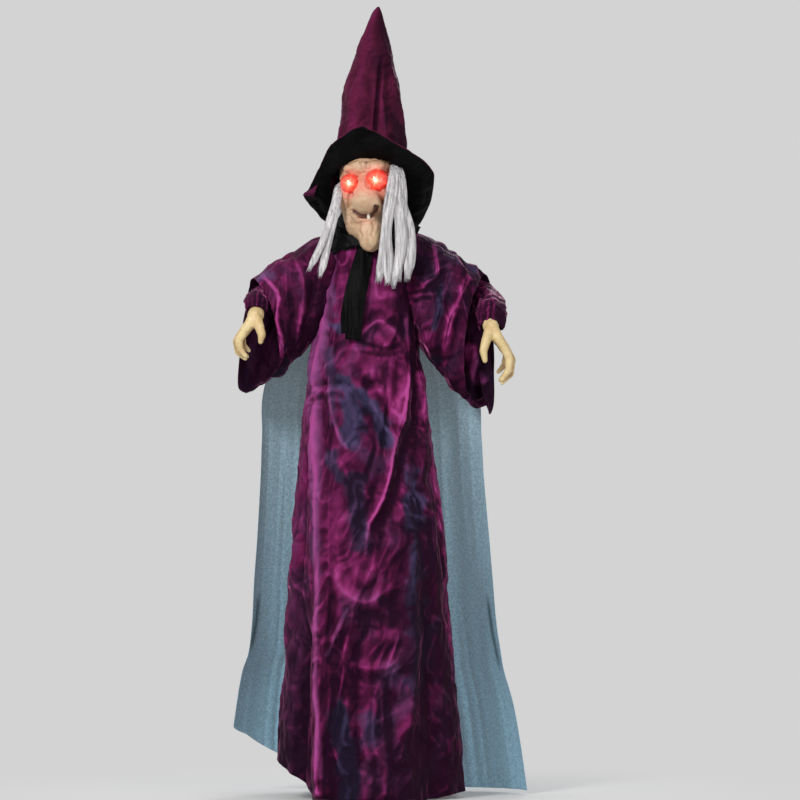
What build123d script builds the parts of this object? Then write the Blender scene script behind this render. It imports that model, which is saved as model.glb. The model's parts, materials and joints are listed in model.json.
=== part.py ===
"""An animated witch figure: a robed and caped display figure on a four-legged pole stand.

Millimetres, +Z up, the figure faces -Y. The origin is on the floor under the pole's axis.
"right" and "left" are the figure's own sides, so the right arm is on the -X side.
"""

import os
from math import acos, cos, pi, radians, sin, tan

from build123d import *

os.makedirs("parts", exist_ok=True)

# ---- Driving dimensions -------------------------------------------------------------------
HEIGHT = 1600  # floor to the tip of the hat

# Stand
LEG_REACH = 146  # pole axis to the end of a leg tube
LEG_RADIUS = 8
LEG_WALL = 1.3
LEG_Z = 13  # height of the leg tubes' axis
HUB_RADIUS = 40
HUB_HEIGHT = 26
POLE_RADIUS = 11
POLE_WALL = 1.3
SPIGOT_LENGTH = 45
POLE_JOINTS = (6, 330, 640, 890)  # where each pole section starts, then the top of the last

# Torso housing
TORSO_WIDTH = 140
TORSO_DEPTH = 84
TORSO_CORNER = 36
TORSO_BOTTOM = 868
TORSO_TOP = 1095
SHELL_WALL = 2.5
SCREW_SPOTS = ((-50, 890), (50, 890), (-50, 1040), (50, 1040))  # (x, z)

# Head drive
SHAFT_RADIUS = 7
SHAFT_BORE = 4
SHAFT_BOTTOM = 996
SHAFT_TOP = 1200
GEAR_MODULE = 1.25
HEAD_TEETH = 40
PINION_TEETH = 16
GEAR_Z = 1020
GEAR_THICKNESS = 8
PRESSURE_ANGLE = radians(20)
BACKLASH = 0.35
PLATE_Z = 1006  # underside of the drive plate
PLATE_THICKNESS = 3
GEARBOX_HEIGHT = 18
MOTOR_Z = PLATE_Z - GEARBOX_HEIGHT - 30  # the motor's lower end
LEAD_BOTTOM = 975  # lower end of the eye lead, under the neck shaft
RUNNING = 0.05  # radial clearance of every turning fit

# Sound and power
SPEAKER_Z = 935
BATTERY_Z = 928
SWITCH_Z = 985
CELL_RADIUS = 7.1
CELL_LENGTH = 50
CELL_PITCH = 17
TRAY_Y = 16
DOOR_GAP = 0.3

# Shoulders
PIVOT_X = 98
PIVOT_Y = 20
PIVOT_Z = 1078
BAR_RADIUS = 7
PIN_RADIUS = 3
EAR_THICKNESS = 3
EAR_GAP = 10

# Arms
ARM_TUBE_RADIUS = 5.5
ARM_TUBE_BORE = 4.3
ELBOW_BEND = 44
INNER_SLEEVE_RADIUS = 22
CLOTH = 1.6  # wall of every cloth shell

# Head, in its own frame: origin at the skull's centre, facing -y
HEAD_CENTRE = (0, -12, 1236)
HEAD_YAW = -8  # the head looks a little towards the figure's right
HEAD_ROLL = -4
MASK_WALL = 2.5
EYE_X = 28.5
EYE_Z = 14
EYE_RADIUS = 17
MOUTH_Z = -64
NECK_PLATE_Z = -45

HEAD_LOCATION = Location(HEAD_CENTRE) * Location((0, 0, 0), (0, HEAD_ROLL, HEAD_YAW))
HEAD = Plane(HEAD_LOCATION)


def save(part, name):
    """Labels a finished piece and writes it as one STEP file."""
    part.label = name
    export_step(part, f"parts/{name}.step")


def head_point(x, y, z):
    """A point of the head's own frame, in the figure's frame."""
    return HEAD.from_local_coords(Vector(x, y, z))


def polar(radius, degrees, z=0.0):
    return (radius * cos(radians(degrees)), radius * sin(radians(degrees)), z)


# ---- Stand --------------------------------------------------------------------------------
LEG_ANGLES = {"front_left": -45, "back_left": 45, "back_right": 135, "front_right": 225}


def radial_plane(degrees, start):
    """A plane across a leg's axis, start millimetres out from the pole."""
    return Plane(
        origin=polar(start, degrees, LEG_Z), x_dir=(0, 0, 1), z_dir=polar(1, degrees)
    )


def make_stand():
    socket_inner = 16
    boss_reach = 62
    with BuildPart() as base_hub:
        Cylinder(HUB_RADIUS, HUB_HEIGHT, align=(Align.CENTER, Align.CENTER, Align.MIN))
        chamfer(base_hub.edges().group_by(Axis.Z)[-1], 2)
        Cylinder(18, 64, align=(Align.CENTER, Align.CENTER, Align.MIN))
        for degrees in LEG_ANGLES.values():
            with BuildSketch(radial_plane(degrees, 0)):
                Circle(LEG_Z - 1)
            extrude(amount=boss_reach)
        for degrees in LEG_ANGLES.values():
            with BuildSketch(radial_plane(degrees, socket_inner)):
                Circle(LEG_RADIUS + RUNNING)
            extrude(amount=boss_reach, mode=Mode.SUBTRACT)
        with BuildSketch(Plane.XY.offset(POLE_JOINTS[0])):
            Circle(POLE_RADIUS + RUNNING)
        extrude(amount=80, mode=Mode.SUBTRACT)
    save(base_hub.part, "base_hub")

    for place, degrees in LEG_ANGLES.items():
        with BuildPart() as base_leg:
            with BuildSketch(radial_plane(degrees, socket_inner + 1)):
                Circle(LEG_RADIUS)
                Circle(LEG_RADIUS - LEG_WALL, mode=Mode.SUBTRACT)
            extrude(amount=LEG_REACH - socket_inner - 1)
        save(base_leg.part, f"base_leg_{place}")

    cap_radius = 12
    cap_overlap = 18
    cap_end = 7
    with BuildPart() as foot_caps:
        for degrees in LEG_ANGLES.values():
            with BuildSketch(radial_plane(degrees, LEG_REACH - cap_overlap)):
                Circle(cap_radius)
                with Locations((-LEG_Z / 2, 0)):
                    Rectangle(LEG_Z, 2 * cap_radius - 4)
            extrude(amount=cap_overlap + cap_end)
        for degrees in LEG_ANGLES.values():
            with BuildSketch(radial_plane(degrees, LEG_REACH - cap_overlap)):
                Circle(LEG_RADIUS + RUNNING)
            extrude(amount=cap_overlap + RUNNING, mode=Mode.SUBTRACT)
    save(foot_caps.part, "foot_caps")

    names = ("lower_pole", "middle_pole", "upper_pole")
    bore = POLE_RADIUS - POLE_WALL
    spigot = bore - RUNNING
    for name, bottom, top in zip(names, POLE_JOINTS, POLE_JOINTS[1:]):
        swaged = name != "upper_pole"
        with BuildPart() as pole:
            with BuildSketch(Plane.XY.offset(bottom)):
                Circle(POLE_RADIUS)
                Circle(bore, mode=Mode.SUBTRACT)
            extrude(amount=top - bottom - (4 if swaged else 0))
            if swaged:
                with BuildSketch(Plane.XY.offset(top - 4)):
                    Circle(POLE_RADIUS)
                with BuildSketch(Plane.XY.offset(top)):
                    Circle(spigot)
                loft()
                with BuildSketch(Plane.XY.offset(top)):
                    Circle(spigot)
                extrude(amount=SPIGOT_LENGTH)
                with BuildSketch(Plane.XY.offset(top - 4)):
                    Circle(spigot - POLE_WALL)
                extrude(amount=SPIGOT_LENGTH + 8, mode=Mode.SUBTRACT)
        save(pole.part, name)


# ---- Torso housing ------------------------------------------------------------------------
def torso_block(inset, bottom, top):
    """The housing's outline, inset all round, as a solid outside any builder."""
    with BuildPart() as block:
        with BuildSketch(Plane.XY.offset(bottom)):
            RectangleRounded(
                TORSO_WIDTH - 2 * inset, TORSO_DEPTH - 2 * inset, TORSO_CORNER - inset
            )
        extrude(amount=top - bottom)
        fillet(block.edges().group_by(Axis.Z)[-1], 16 - inset)
    return block.part


def make_torso_shells():
    outer = torso_block(0, TORSO_BOTTOM, TORSO_TOP)
    inner = torso_block(SHELL_WALL, TORSO_BOTTOM + SHELL_WALL, TORSO_TOP - SHELL_WALL)
    shells = {"torso_front_shell": Keep.BOTTOM, "torso_rear_shell": Keep.TOP}
    half_depth = TORSO_DEPTH / 2
    split_plane = Plane.XZ.rotated((0, 0, 180))  # its normal is +Y
    for name, side in shells.items():
        with BuildPart() as shell:
            add(outer)
            add(inner, mode=Mode.SUBTRACT)
            for x, z in SCREW_SPOTS:
                with BuildSketch(Plane.XZ.offset(half_depth - SHELL_WALL / 2)):
                    with Locations((x, z)):
                        Circle(5)
                extrude(amount=-TORSO_DEPTH + SHELL_WALL)
            # pole socket below, neck bush above
            with BuildSketch(Plane.XY.offset(TORSO_BOTTOM - 1)):
                Circle(16)
            extrude(amount=SHELL_WALL + 2, mode=Mode.SUBTRACT)
            with BuildSketch(Plane.XY.offset(TORSO_TOP - SHELL_WALL - 1)):
                Circle(12)
            extrude(amount=SHELL_WALL + 2, mode=Mode.SUBTRACT)
            # screw holes
            for x, z in SCREW_SPOTS:
                with BuildSketch(Plane.XZ.offset(half_depth - 8)):
                    with Locations((x, z)):
                        Circle(1.5)
                extrude(amount=-TORSO_DEPTH, mode=Mode.SUBTRACT)
                with BuildSketch(Plane.XZ.offset(-half_depth + 3)):
                    with Locations((x, z)):
                        Circle(3.3)
                extrude(amount=-10, mode=Mode.SUBTRACT)
            # speaker grille, in front
            with BuildSketch(Plane.XZ.offset(half_depth - 8)):
                for radius, count in ((0.01, 1), (5.5, 6), (11, 12), (15.5, 16)):
                    with Locations((0, SPEAKER_Z)):
                        with PolarLocations(radius, count):
                            Circle(1.3)
            extrude(amount=10, mode=Mode.SUBTRACT)
            # battery opening and switch slot, behind
            with BuildSketch(Plane.XZ.offset(-half_depth + 5)):
                with Locations((0, BATTERY_Z)):
                    Rectangle(56, 50)
                with Locations((0, SWITCH_Z)):
                    Rectangle(12, 5)
            extrude(amount=-10, mode=Mode.SUBTRACT)
            # shoulder bar
            with BuildSketch(Plane.YZ.offset(-TORSO_WIDTH)):
                with Locations((PIVOT_Y, PIVOT_Z)):
                    Circle(BAR_RADIUS + RUNNING)
            extrude(amount=2 * TORSO_WIDTH, mode=Mode.SUBTRACT)
            # door rails
            if name == "torso_rear_shell":
                for sign in (-1, 1):
                    with BuildSketch(Plane.XY.offset(TORSO_BOTTOM + 4)):
                        with Locations((sign * 35, half_depth + 1)):
                            Rectangle(3, 6)
                        with Locations((sign * 33.5, half_depth + 3.4)):
                            Rectangle(6, 1.2)
                    extrude(amount=90)
            split(bisect_by=split_plane, keep=side)
        save(shell.part, name)

    with BuildPart() as torso_screws:
        for x, z in SCREW_SPOTS:
            with BuildSketch(Plane.XZ.offset(-half_depth + 3)):
                with Locations((x, z)):
                    Circle(2.9)
            extrude(amount=-2)
            with BuildSketch(Plane.XZ.offset(-half_depth + 3)):
                with Locations((x, z)):
                    Circle(1.45)
            extrude(amount=60)
            with BuildSketch(Plane.XZ.offset(-half_depth + 1)):
                with Locations((x, z)):
                    Rectangle(3.6, 0.8)
                    Rectangle(0.8, 3.6)
            extrude(amount=1, mode=Mode.SUBTRACT)
    save(torso_screws.part, "torso_screws")

    with BuildPart() as pole_socket:
        with BuildSketch(Plane.XY.offset(TORSO_BOTTOM - 6)):
            Circle(15.9)
        extrude(amount=30)
        with BuildSketch(Plane.XY.offset(TORSO_BOTTOM + SHELL_WALL)):
            RectangleRounded(50, 44, 6)
        extrude(amount=5)
        with BuildSketch(Plane.XY.offset(TORSO_BOTTOM - 7)):
            Circle(POLE_RADIUS + RUNNING)
        extrude(amount=POLE_JOINTS[-1] - TORSO_BOTTOM + 7, mode=Mode.SUBTRACT)
    save(pole_socket.part, "pole_socket")


# ---- Head drive ---------------------------------------------------------------------------
def gear_outline(teeth):
    """Corner points of a spur gear with involute flanks, thinned for backlash."""
    pitch = GEAR_MODULE * teeth / 2
    base = pitch * cos(PRESSURE_ANGLE)
    tip = pitch + 0.9 * GEAR_MODULE
    root = pitch - 1.25 * GEAR_MODULE

    def half_angle(radius):
        ratio = min(1.0, base / radius)
        involute = tan(acos(ratio)) - acos(ratio)
        at_pitch = tan(PRESSURE_ANGLE) - PRESSURE_ANGLE
        return pi / 2 / teeth - BACKLASH / 2 / pitch + at_pitch - involute

    steps = 5
    start = max(root, base)
    flank = [start + (tip - start) * i / (steps - 1) for i in range(steps)]
    points = []
    for tooth in range(teeth):
        middle = 2 * pi * tooth / teeth
        rising = [(root, -half_angle(start))] + [(r, -half_angle(r)) for r in flank]
        falling = [(r, -a) for r, a in reversed(rising)]
        for radius, angle in rising + falling:
            at = (radius * cos(middle + angle), radius * sin(middle + angle))
            if not points or abs(at[0] - points[-1][0]) + abs(at[1] - points[-1][1]) > 1e-6:
                points.append(at)
    return points


def make_drive():
    centres = GEAR_MODULE * (HEAD_TEETH + PINION_TEETH) / 2
    with BuildPart() as head_gear:
        with BuildSketch(Plane.XY.offset(GEAR_Z)):
            with BuildLine():
                Polyline(*gear_outline(HEAD_TEETH), close=True)
            make_face()
            Circle(SHAFT_RADIUS, mode=Mode.SUBTRACT)
        extrude(amount=GEAR_THICKNESS)
        with BuildSketch(Plane.XY.offset(GEAR_Z + GEAR_THICKNESS)):
            Circle(13)
            Circle(SHAFT_RADIUS, mode=Mode.SUBTRACT)
        extrude(amount=6)
        with BuildSketch(Plane.XY.offset(GEAR_Z + GEAR_THICKNESS - 2.5)):
            Circle(20)
            Circle(13, mode=Mode.SUBTRACT)
        extrude(amount=3, mode=Mode.SUBTRACT)
    save(head_gear.part, "head_gear")

    # A tooth of the head gear points at the pinion, so the pinion shows it a gap.
    turn = 180 + 180 / PINION_TEETH
    with BuildPart() as drive_pinion:
        with BuildSketch(Plane.XY.offset(GEAR_Z)):
            with BuildLine():
                Polyline(*gear_outline(PINION_TEETH), close=True)
            make_face()
        extrude(amount=GEAR_THICKNESS)
        with BuildSketch(Plane.XY.offset(GEAR_Z + GEAR_THICKNESS)):
            Circle(6)
        extrude(amount=3)
        with BuildSketch(Plane.XY.offset(PLATE_Z - 5)):
            Circle(2)
        extrude(amount=GEAR_Z - PLATE_Z + 5)
    placed = drive_pinion.part.moved(Location((centres, 0, 0), (0, 0, turn)))
    save(placed, "drive_pinion")

    with BuildPart() as neck_shaft:
        with BuildSketch(Plane.XY.offset(SHAFT_BOTTOM)):
            Circle(SHAFT_RADIUS)
            Circle(SHAFT_BORE, mode=Mode.SUBTRACT)
        extrude(amount=SHAFT_TOP - SHAFT_BOTTOM)
        chamfer(neck_shaft.edges().group_by(Axis.Z)[-1], 0.6)
    save(neck_shaft.part, "neck_shaft")

    with BuildPart() as neck_bush:
        with BuildSketch(Plane.XY.offset(TORSO_TOP - 22)):
            Circle(11.9)
        extrude(amount=26)
        with BuildSketch(Plane.XY.offset(TORSO_TOP + 0.05)):
            Circle(16)
        extrude(amount=3.95)
        with BuildSketch(Plane.XY.offset(TORSO_TOP - 30)):
            Circle(SHAFT_RADIUS + RUNNING)
        extrude(amount=50, mode=Mode.SUBTRACT)
    save(neck_bush.part, "neck_bush")

    plate_inset = SHELL_WALL + 0.1
    with BuildPart() as drive_plate:
        with BuildSketch(Plane.XY.offset(PLATE_Z)):
            RectangleRounded(
                TORSO_WIDTH - 2 * plate_inset, TORSO_DEPTH - 2 * plate_inset, TORSO_CORNER - plate_inset
            )
            Circle(SHAFT_RADIUS + RUNNING, mode=Mode.SUBTRACT)
            with Locations((centres, 0)):
                Circle(4.2, mode=Mode.SUBTRACT)
        extrude(amount=PLATE_THICKNESS)
        with BuildSketch(Plane.XY.offset(SHAFT_BOTTOM + 2)):
            Circle(12)
            Circle(SHAFT_RADIUS + RUNNING, mode=Mode.SUBTRACT)
        extrude(amount=PLATE_Z - SHAFT_BOTTOM - 2)
    save(drive_plate.part, "drive_plate")

    with BuildPart() as drive_gearbox:
        with BuildSketch(Plane.XY.offset(PLATE_Z - GEARBOX_HEIGHT)):
            with Locations((centres, 0)):
                RectangleRounded(34, 30, 4)
        extrude(amount=GEARBOX_HEIGHT)
        with BuildSketch(Plane.XY.offset(PLATE_Z)):
            with Locations((centres, 0)):
                Circle(4)
        extrude(amount=PLATE_THICKNESS + 3)
        with BuildSketch(Plane.XY.offset(PLATE_Z - 6)):
            with Locations((centres, 0)):
                Circle(2 + RUNNING)
        extrude(amount=20, mode=Mode.SUBTRACT)
    save(drive_gearbox.part, "drive_gearbox")

    with BuildPart() as drive_motor:
        with BuildSketch(Plane.XY.offset(MOTOR_Z)):
            with Locations((centres, 0)):
                Circle(12)
        extrude(amount=30)
        chamfer(drive_motor.edges().group_by(Axis.Z)[0], 1)
        with BuildSketch(Plane.XY.offset(MOTOR_Z - 3)):
            with Locations((centres, 0)):
                Circle(4)
        extrude(amount=3)
    save(drive_motor.part, "drive_motor")


# ---- Sound and power ----------------------------------------------------------------------
def make_electronics():
    front = -TORSO_DEPTH / 2 + SHELL_WALL
    with BuildPart() as speaker:
        # flange, basket and magnet, then the hollow in front with its thin cone
        for depth, length, radius in ((0, 2, 20), (2, 9, 15), (11, 6, 12)):
            with BuildSketch(Plane.XZ.offset(-front - depth)):
                with Locations((0, SPEAKER_Z)):
                    Circle(radius)
            extrude(amount=-length)
        with BuildSketch(Plane.XZ.offset(-front)):
            with Locations((0, SPEAKER_Z)):
                Circle(16)
        with BuildSketch(Plane.XZ.offset(-front - 7)):
            with Locations((0, SPEAKER_Z)):
                Circle(5)
        loft(mode=Mode.SUBTRACT)
    save(speaker.part, "speaker")

    board_y = 2
    with BuildPart() as control_board:
        with Locations((0, board_y, 930)):
            Box(64, 1.6, 50)
        with Locations((-14, board_y - 1.9, 936), (16, board_y - 1.9, 922)):
            Box(14, 2.2, 10)
        with Locations((20, board_y - 4.3, 945)):
            Cylinder(4, 7, rotation=(90, 0, 0))
    save(control_board.part, "control_board")

    with BuildPart() as torso_leads:
        routes = (
            ((-26, board_y + 0.8, 912), (-26, 9, 912), (-26, 9, 904), (-26, TRAY_Y, 904)),
            ((-8, board_y - 0.8, 916), (-8, -14, 916), (-8, -14, 930), (-8, front + 17, 930)),
            ((28, board_y + 0.8, 944), (28, 9, 944), (35, 9, 944), (35, 9, MOTOR_Z)),
            ((0, board_y + 0.8, 950), (0, 9, 950), (0, 9, 962), (0, 0, 962), (0, 0, LEAD_BOTTOM - 0.4)),
        )
        for route in routes:
            with BuildLine():
                FilletPolyline(*route, radius=3)
            with BuildSketch(Plane(origin=route[0], z_dir=Vector(*route[1]) - Vector(*route[0]))):
                Circle(1.1)
            sweep()
    save(torso_leads.part, "torso_leads")

    half_x = CELL_LENGTH / 2 + 4
    half_z = 1.5 * CELL_PITCH + 2
    depth = 21
    with BuildPart() as battery_tray:
        with Locations((0, TRAY_Y + depth / 2, BATTERY_Z)):
            Box(2 * half_x + 3, depth, 2 * half_z + 3)
        with Locations((0, TRAY_Y + depth / 2 + 1.5, BATTERY_Z)):
            Box(2 * half_x, depth, 2 * half_z, mode=Mode.SUBTRACT)
    save(battery_tray.part, "battery_tray")

    with BuildPart() as batteries:
        for row in (-1, 0, 1):
            with BuildSketch(Plane.YZ.offset(-CELL_LENGTH / 2)):
                with Locations((TRAY_Y + 11, BATTERY_Z + row * CELL_PITCH)):
                    Circle(CELL_RADIUS)
            extrude(amount=CELL_LENGTH - 1.5)
            with BuildSketch(Plane.YZ.offset(CELL_LENGTH / 2 - 1.5)):
                with Locations((TRAY_Y + 11, BATTERY_Z + row * CELL_PITCH)):
                    Circle(2.7)
            extrude(amount=1.5)
    save(batteries.part, "batteries")

    contact_x = CELL_LENGTH / 2 + 0.6
    with BuildPart() as battery_contacts:
        for row in (-1, 0, 1):
            for x in (-contact_x, contact_x):
                with Locations((x, TRAY_Y + 11, BATTERY_Z + row * CELL_PITCH)):
                    Box(0.6, 10, 12)
    save(battery_contacts.part, "battery_contacts")

    half_depth = TORSO_DEPTH / 2
    with BuildPart() as battery_door:
        with BuildSketch(Plane.XZ.offset(-half_depth - DOOR_GAP)):
            with Locations((0, BATTERY_Z)):
                Rectangle(66, 58)
        extrude(amount=-2)
        grips = [(0, half_depth + DOOR_GAP + 2.5, BATTERY_Z + 16 + 3 * row) for row in range(3)]
        with Locations(*grips):
            Box(24, 1.4, 1.4)
    save(battery_door.part, "battery_door")

    inner_face = half_depth - SHELL_WALL
    with BuildPart() as switch_body:
        with Locations((0, inner_face - 3.6, SWITCH_Z)):
            Box(18, 7, 9)
        with Locations((0, inner_face - 1, SWITCH_Z)):
            Box(10, 3, 3.4, mode=Mode.SUBTRACT)
    save(switch_body.part, "switch_body")

    with BuildPart() as power_switch:
        with Locations((-2, inner_face + 1.6, SWITCH_Z)):
            Box(5, 7, 2.8)
    save(power_switch.part, "power_switch")


# ---- Shoulders and arms -------------------------------------------------------------------
ARMS = {
    # elbow and wrist as (outward, y, z); bell sections as (outward, y, z, yaw, half width, half height)
    "right": dict(
        side=-1,
        elbow=(222, 20, 1006),
        wrist=(231, -96, 984),
        bell=((128, 14, 1012, 0, 40, 92), (176, 10, 978, 25, 50, 110), (222, -20, 926, 55, 62, 126)),
        hand_scale=0.8,
    ),
    "left": dict(
        side=1,
        elbow=(236, 20, 1002),
        wrist=(243, -96, 966),
        bell=((128, 14, 1006, 0, 40, 98), (180, 10, 968, 25, 50, 118), (233, -20, 912, 55, 62, 138)),
        hand_scale=1.0,
    ),
}


def make_shoulder_bar():
    ear_y = EAR_GAP / 2 + EAR_THICKNESS / 2
    with BuildPart() as shoulder_bar:
        with BuildSketch(Plane.YZ.offset(-PIVOT_X + 22)):
            with Locations((PIVOT_Y, PIVOT_Z)):
                Circle(BAR_RADIUS)
        extrude(amount=2 * (PIVOT_X - 22))
        for sign in (-1, 1):
            with Locations((sign * (PIVOT_X - 20), PIVOT_Y, PIVOT_Z)):
                Box(4, EAR_GAP + 2 * EAR_THICKNESS, 18)
            with Locations(
                (sign * (PIVOT_X - 6), PIVOT_Y - ear_y, PIVOT_Z),
                (sign * (PIVOT_X - 6), PIVOT_Y + ear_y, PIVOT_Z),
            ):
                Box(28, EAR_THICKNESS, 18)
            with BuildSketch(Plane.XZ.offset(-PIVOT_Y - 12)):
                with Locations((sign * PIVOT_X, PIVOT_Z)):
                    Circle(PIN_RADIUS)
            extrude(amount=24, mode=Mode.SUBTRACT)
    save(shoulder_bar.part, "shoulder_bar")

    with BuildPart() as shoulder_pins:
        for sign in (-1, 1):
            with BuildSketch(Plane.XZ.offset(-PIVOT_Y - 10)):
                with Locations((sign * PIVOT_X, PIVOT_Z)):
                    Circle(PIN_RADIUS)
            extrude(amount=20)
            for end in (-8, 10):
                with BuildSketch(Plane.XZ.offset(-PIVOT_Y - end)):
                    with Locations((sign * PIVOT_X, PIVOT_Z)):
                        Circle(PIN_RADIUS + 2)
                extrude(amount=2)
    save(shoulder_pins.part, "shoulder_pins")


def toward(start, end, distance):
    """The point that far along the line from start to end."""
    return start + (end - start).normalized() * distance


def make_arm(name, side, elbow, wrist, bell, hand_scale):
    pivot = Vector(side * PIVOT_X, PIVOT_Y, PIVOT_Z)
    elbow = Vector(side * elbow[0], *elbow[1:])
    wrist = Vector(side * wrist[0], *wrist[1:])
    upper = (elbow - pivot).normalized()
    fore = (wrist - elbow).normalized()

    tongue = EAR_GAP - 0.6
    with BuildPart() as yoke:
        # the tongue between the bar's ears, then the socket for the tube
        with BuildSketch(Plane.XZ.offset(-PIVOT_Y - tongue / 2)):
            with Locations((pivot.X, pivot.Z)):
                Circle(8)
        extrude(amount=tongue)
        across = Plane(origin=pivot, x_dir=(0, 1, 0), z_dir=upper)
        with BuildSketch(across):
            Rectangle(tongue, 14)
        extrude(amount=22)
        with BuildSketch(across.offset(20)):
            Circle(9)
        extrude(amount=26)
        with BuildSketch(across.offset(24)):
            Circle(ARM_TUBE_RADIUS)
        extrude(amount=40, mode=Mode.SUBTRACT)
        with BuildSketch(Plane.XZ.offset(-PIVOT_Y - 12)):
            with Locations((pivot.X, pivot.Z)):
                Circle(PIN_RADIUS + RUNNING)
        extrude(amount=24, mode=Mode.SUBTRACT)
    save(yoke.part, f"{name}_arm_yoke")

    def along_arm(radius, bore, start, end):
        """A round sleeve along the arm, from start out from the shoulder to end short of the wrist."""
        first = toward(pivot, elbow, start)
        with BuildPart() as sleeve:
            with BuildLine():
                FilletPolyline(first, elbow, toward(wrist, elbow, end), radius=ELBOW_BEND)
            with BuildSketch(Plane(origin=first, z_dir=upper)):
                Circle(radius)
                Circle(bore, mode=Mode.SUBTRACT)
            sweep()
        return sleeve.part

    save(along_arm(ARM_TUBE_RADIUS, ARM_TUBE_BORE, 24, 4), f"{name}_arm_tube")
    save(along_arm(INNER_SLEEVE_RADIUS, ARM_TUBE_RADIUS + 0.3, 50, 2), f"{name}_inner_sleeve")

    with BuildPart() as bell_sleeve:
        for inset, mode in ((0, Mode.ADD), (CLOTH, Mode.SUBTRACT)):
            for out, y, z, yaw, half_width, half_height in bell:
                normal = Vector(side * cos(radians(yaw)), -sin(radians(yaw)), 0)
                with BuildSketch(Plane(origin=(side * out, y, z), x_dir=(0, 0, 1), z_dir=normal)):
                    Ellipse(half_height - inset, half_width - inset)
            loft(mode=mode)
    save(bell_sleeve.part, f"{name}_bell_sleeve")

    make_hand(name, side, wrist, fore, hand_scale)


def limb(points):
    """A chain of (centre, radius) joints: balls with tapered rods between them."""
    with BuildPart() as chain:
        for (a, ra), (b, rb) in zip(points, points[1:]):
            with Locations(Location(b)):
                Sphere(rb)
            with BuildSketch(Plane(origin=a, z_dir=b - a)):
                Circle(ra)
            with BuildSketch(Plane(origin=b, z_dir=b - a)):
                Circle(rb)
            loft()
    return chain.part


FINGERS = {
    # y of the finger, then (outward, down, radius) of its knuckle, two joints and tip
    "index": (-19, ((20, 44, 8.5), (40, 74, 7.5), (39, 101, 6.5), (22, 122, 4.5))),
    "middle": (-6, ((22, 46, 8.5), (44, 79, 7.5), (41, 108, 6.5), (20, 128, 4.5))),
    "ring": (7, ((20, 44, 8.0), (41, 76, 7.2), (37, 103, 6.2), (17, 122, 4.3))),
    "little": (18, ((16, 40, 7.4), (34, 66, 6.4), (31, 88, 5.6), (15, 104, 4.0))),
}
THUMB = ((2, -16, 22, 9.5), (-8, -26, 42, 8.5), (-13, -30, 62, 7.2), (-9, -30, 80, 5.0))


def make_hand(name, side, wrist, fore, scale):
    def at(out, y, down):
        return wrist + Vector(side * out, y - 20, -down * scale)

    digits = [
        limb([(at(out, y, down), radius) for out, down, radius in joints])
        for y, joints in FINGERS.values()
    ]
    digits.append(limb([(at(out, y, down), radius) for out, y, down, radius in THUMB]))

    heel = wrist + fore * 18 - Vector(0, 0, 2)
    with BuildPart() as hand:
        with BuildSketch(Plane(origin=wrist, z_dir=fore)):
            Circle(17)
        with BuildSketch(Plane(origin=heel, z_dir=fore - Vector(0, 0, 0.6))):
            Ellipse(17, 15)
        loft()
        with BuildSketch(Plane(origin=wrist - fore * 16, z_dir=fore)):
            Circle(ARM_TUBE_BORE - RUNNING)
        extrude(amount=18)
        # palm
        with BuildSketch(Plane(origin=at(2, 2, 4), x_dir=(1, 0, 0), z_dir=(0, 0, -1))):
            Ellipse(14, 16)
        with BuildSketch(Plane(origin=at(12, 0, 26), x_dir=(1, 0, 0), z_dir=(side * 0.3, 0, -1))):
            Ellipse(14, 26)
        with BuildSketch(Plane(origin=at(19, 0, 48), x_dir=(1, 0, 0), z_dir=(side * 0.3, 0, -1))):
            Ellipse(9, 27)
        loft()
        for digit in digits:
            add(digit)
    save(hand.part, f"{name}_hand")


# ---- Head ---------------------------------------------------------------------------------
HEAD_SECTIONS = (
    # height, centre y, half width, half depth
    (84, 0, 22, 26),
    (66, 0, 44, 54),
    (36, -4, 60, 68),
    (4, -6, 64, 72),
    (-26, -8, 61, 72),
    (-54, -20, 51, 62),
    (-82, -44, 36, 46),
    (-108, -66, 25, 30),
    (-128, -76, 15, 18),
)


def head_loft(inset):
    """The closed form of the head, inset all round, outside any builder."""
    ends = {HEAD_SECTIONS[0][0]: -inset, HEAD_SECTIONS[-1][0]: inset}
    with BuildPart() as form:
        for height, centre_y, half_width, half_depth in HEAD_SECTIONS:
            with BuildSketch(HEAD.offset(height + ends.get(height, 0))):
                with Locations((0, centre_y)):
                    Ellipse(half_width - inset, half_depth - inset)
        loft()
    return form.part


NOSE = ((-62, 24, 9), (-84, 0, 12), (-103, -20, 15), (-110, -36, 14), (-106, -48, 8))


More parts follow.
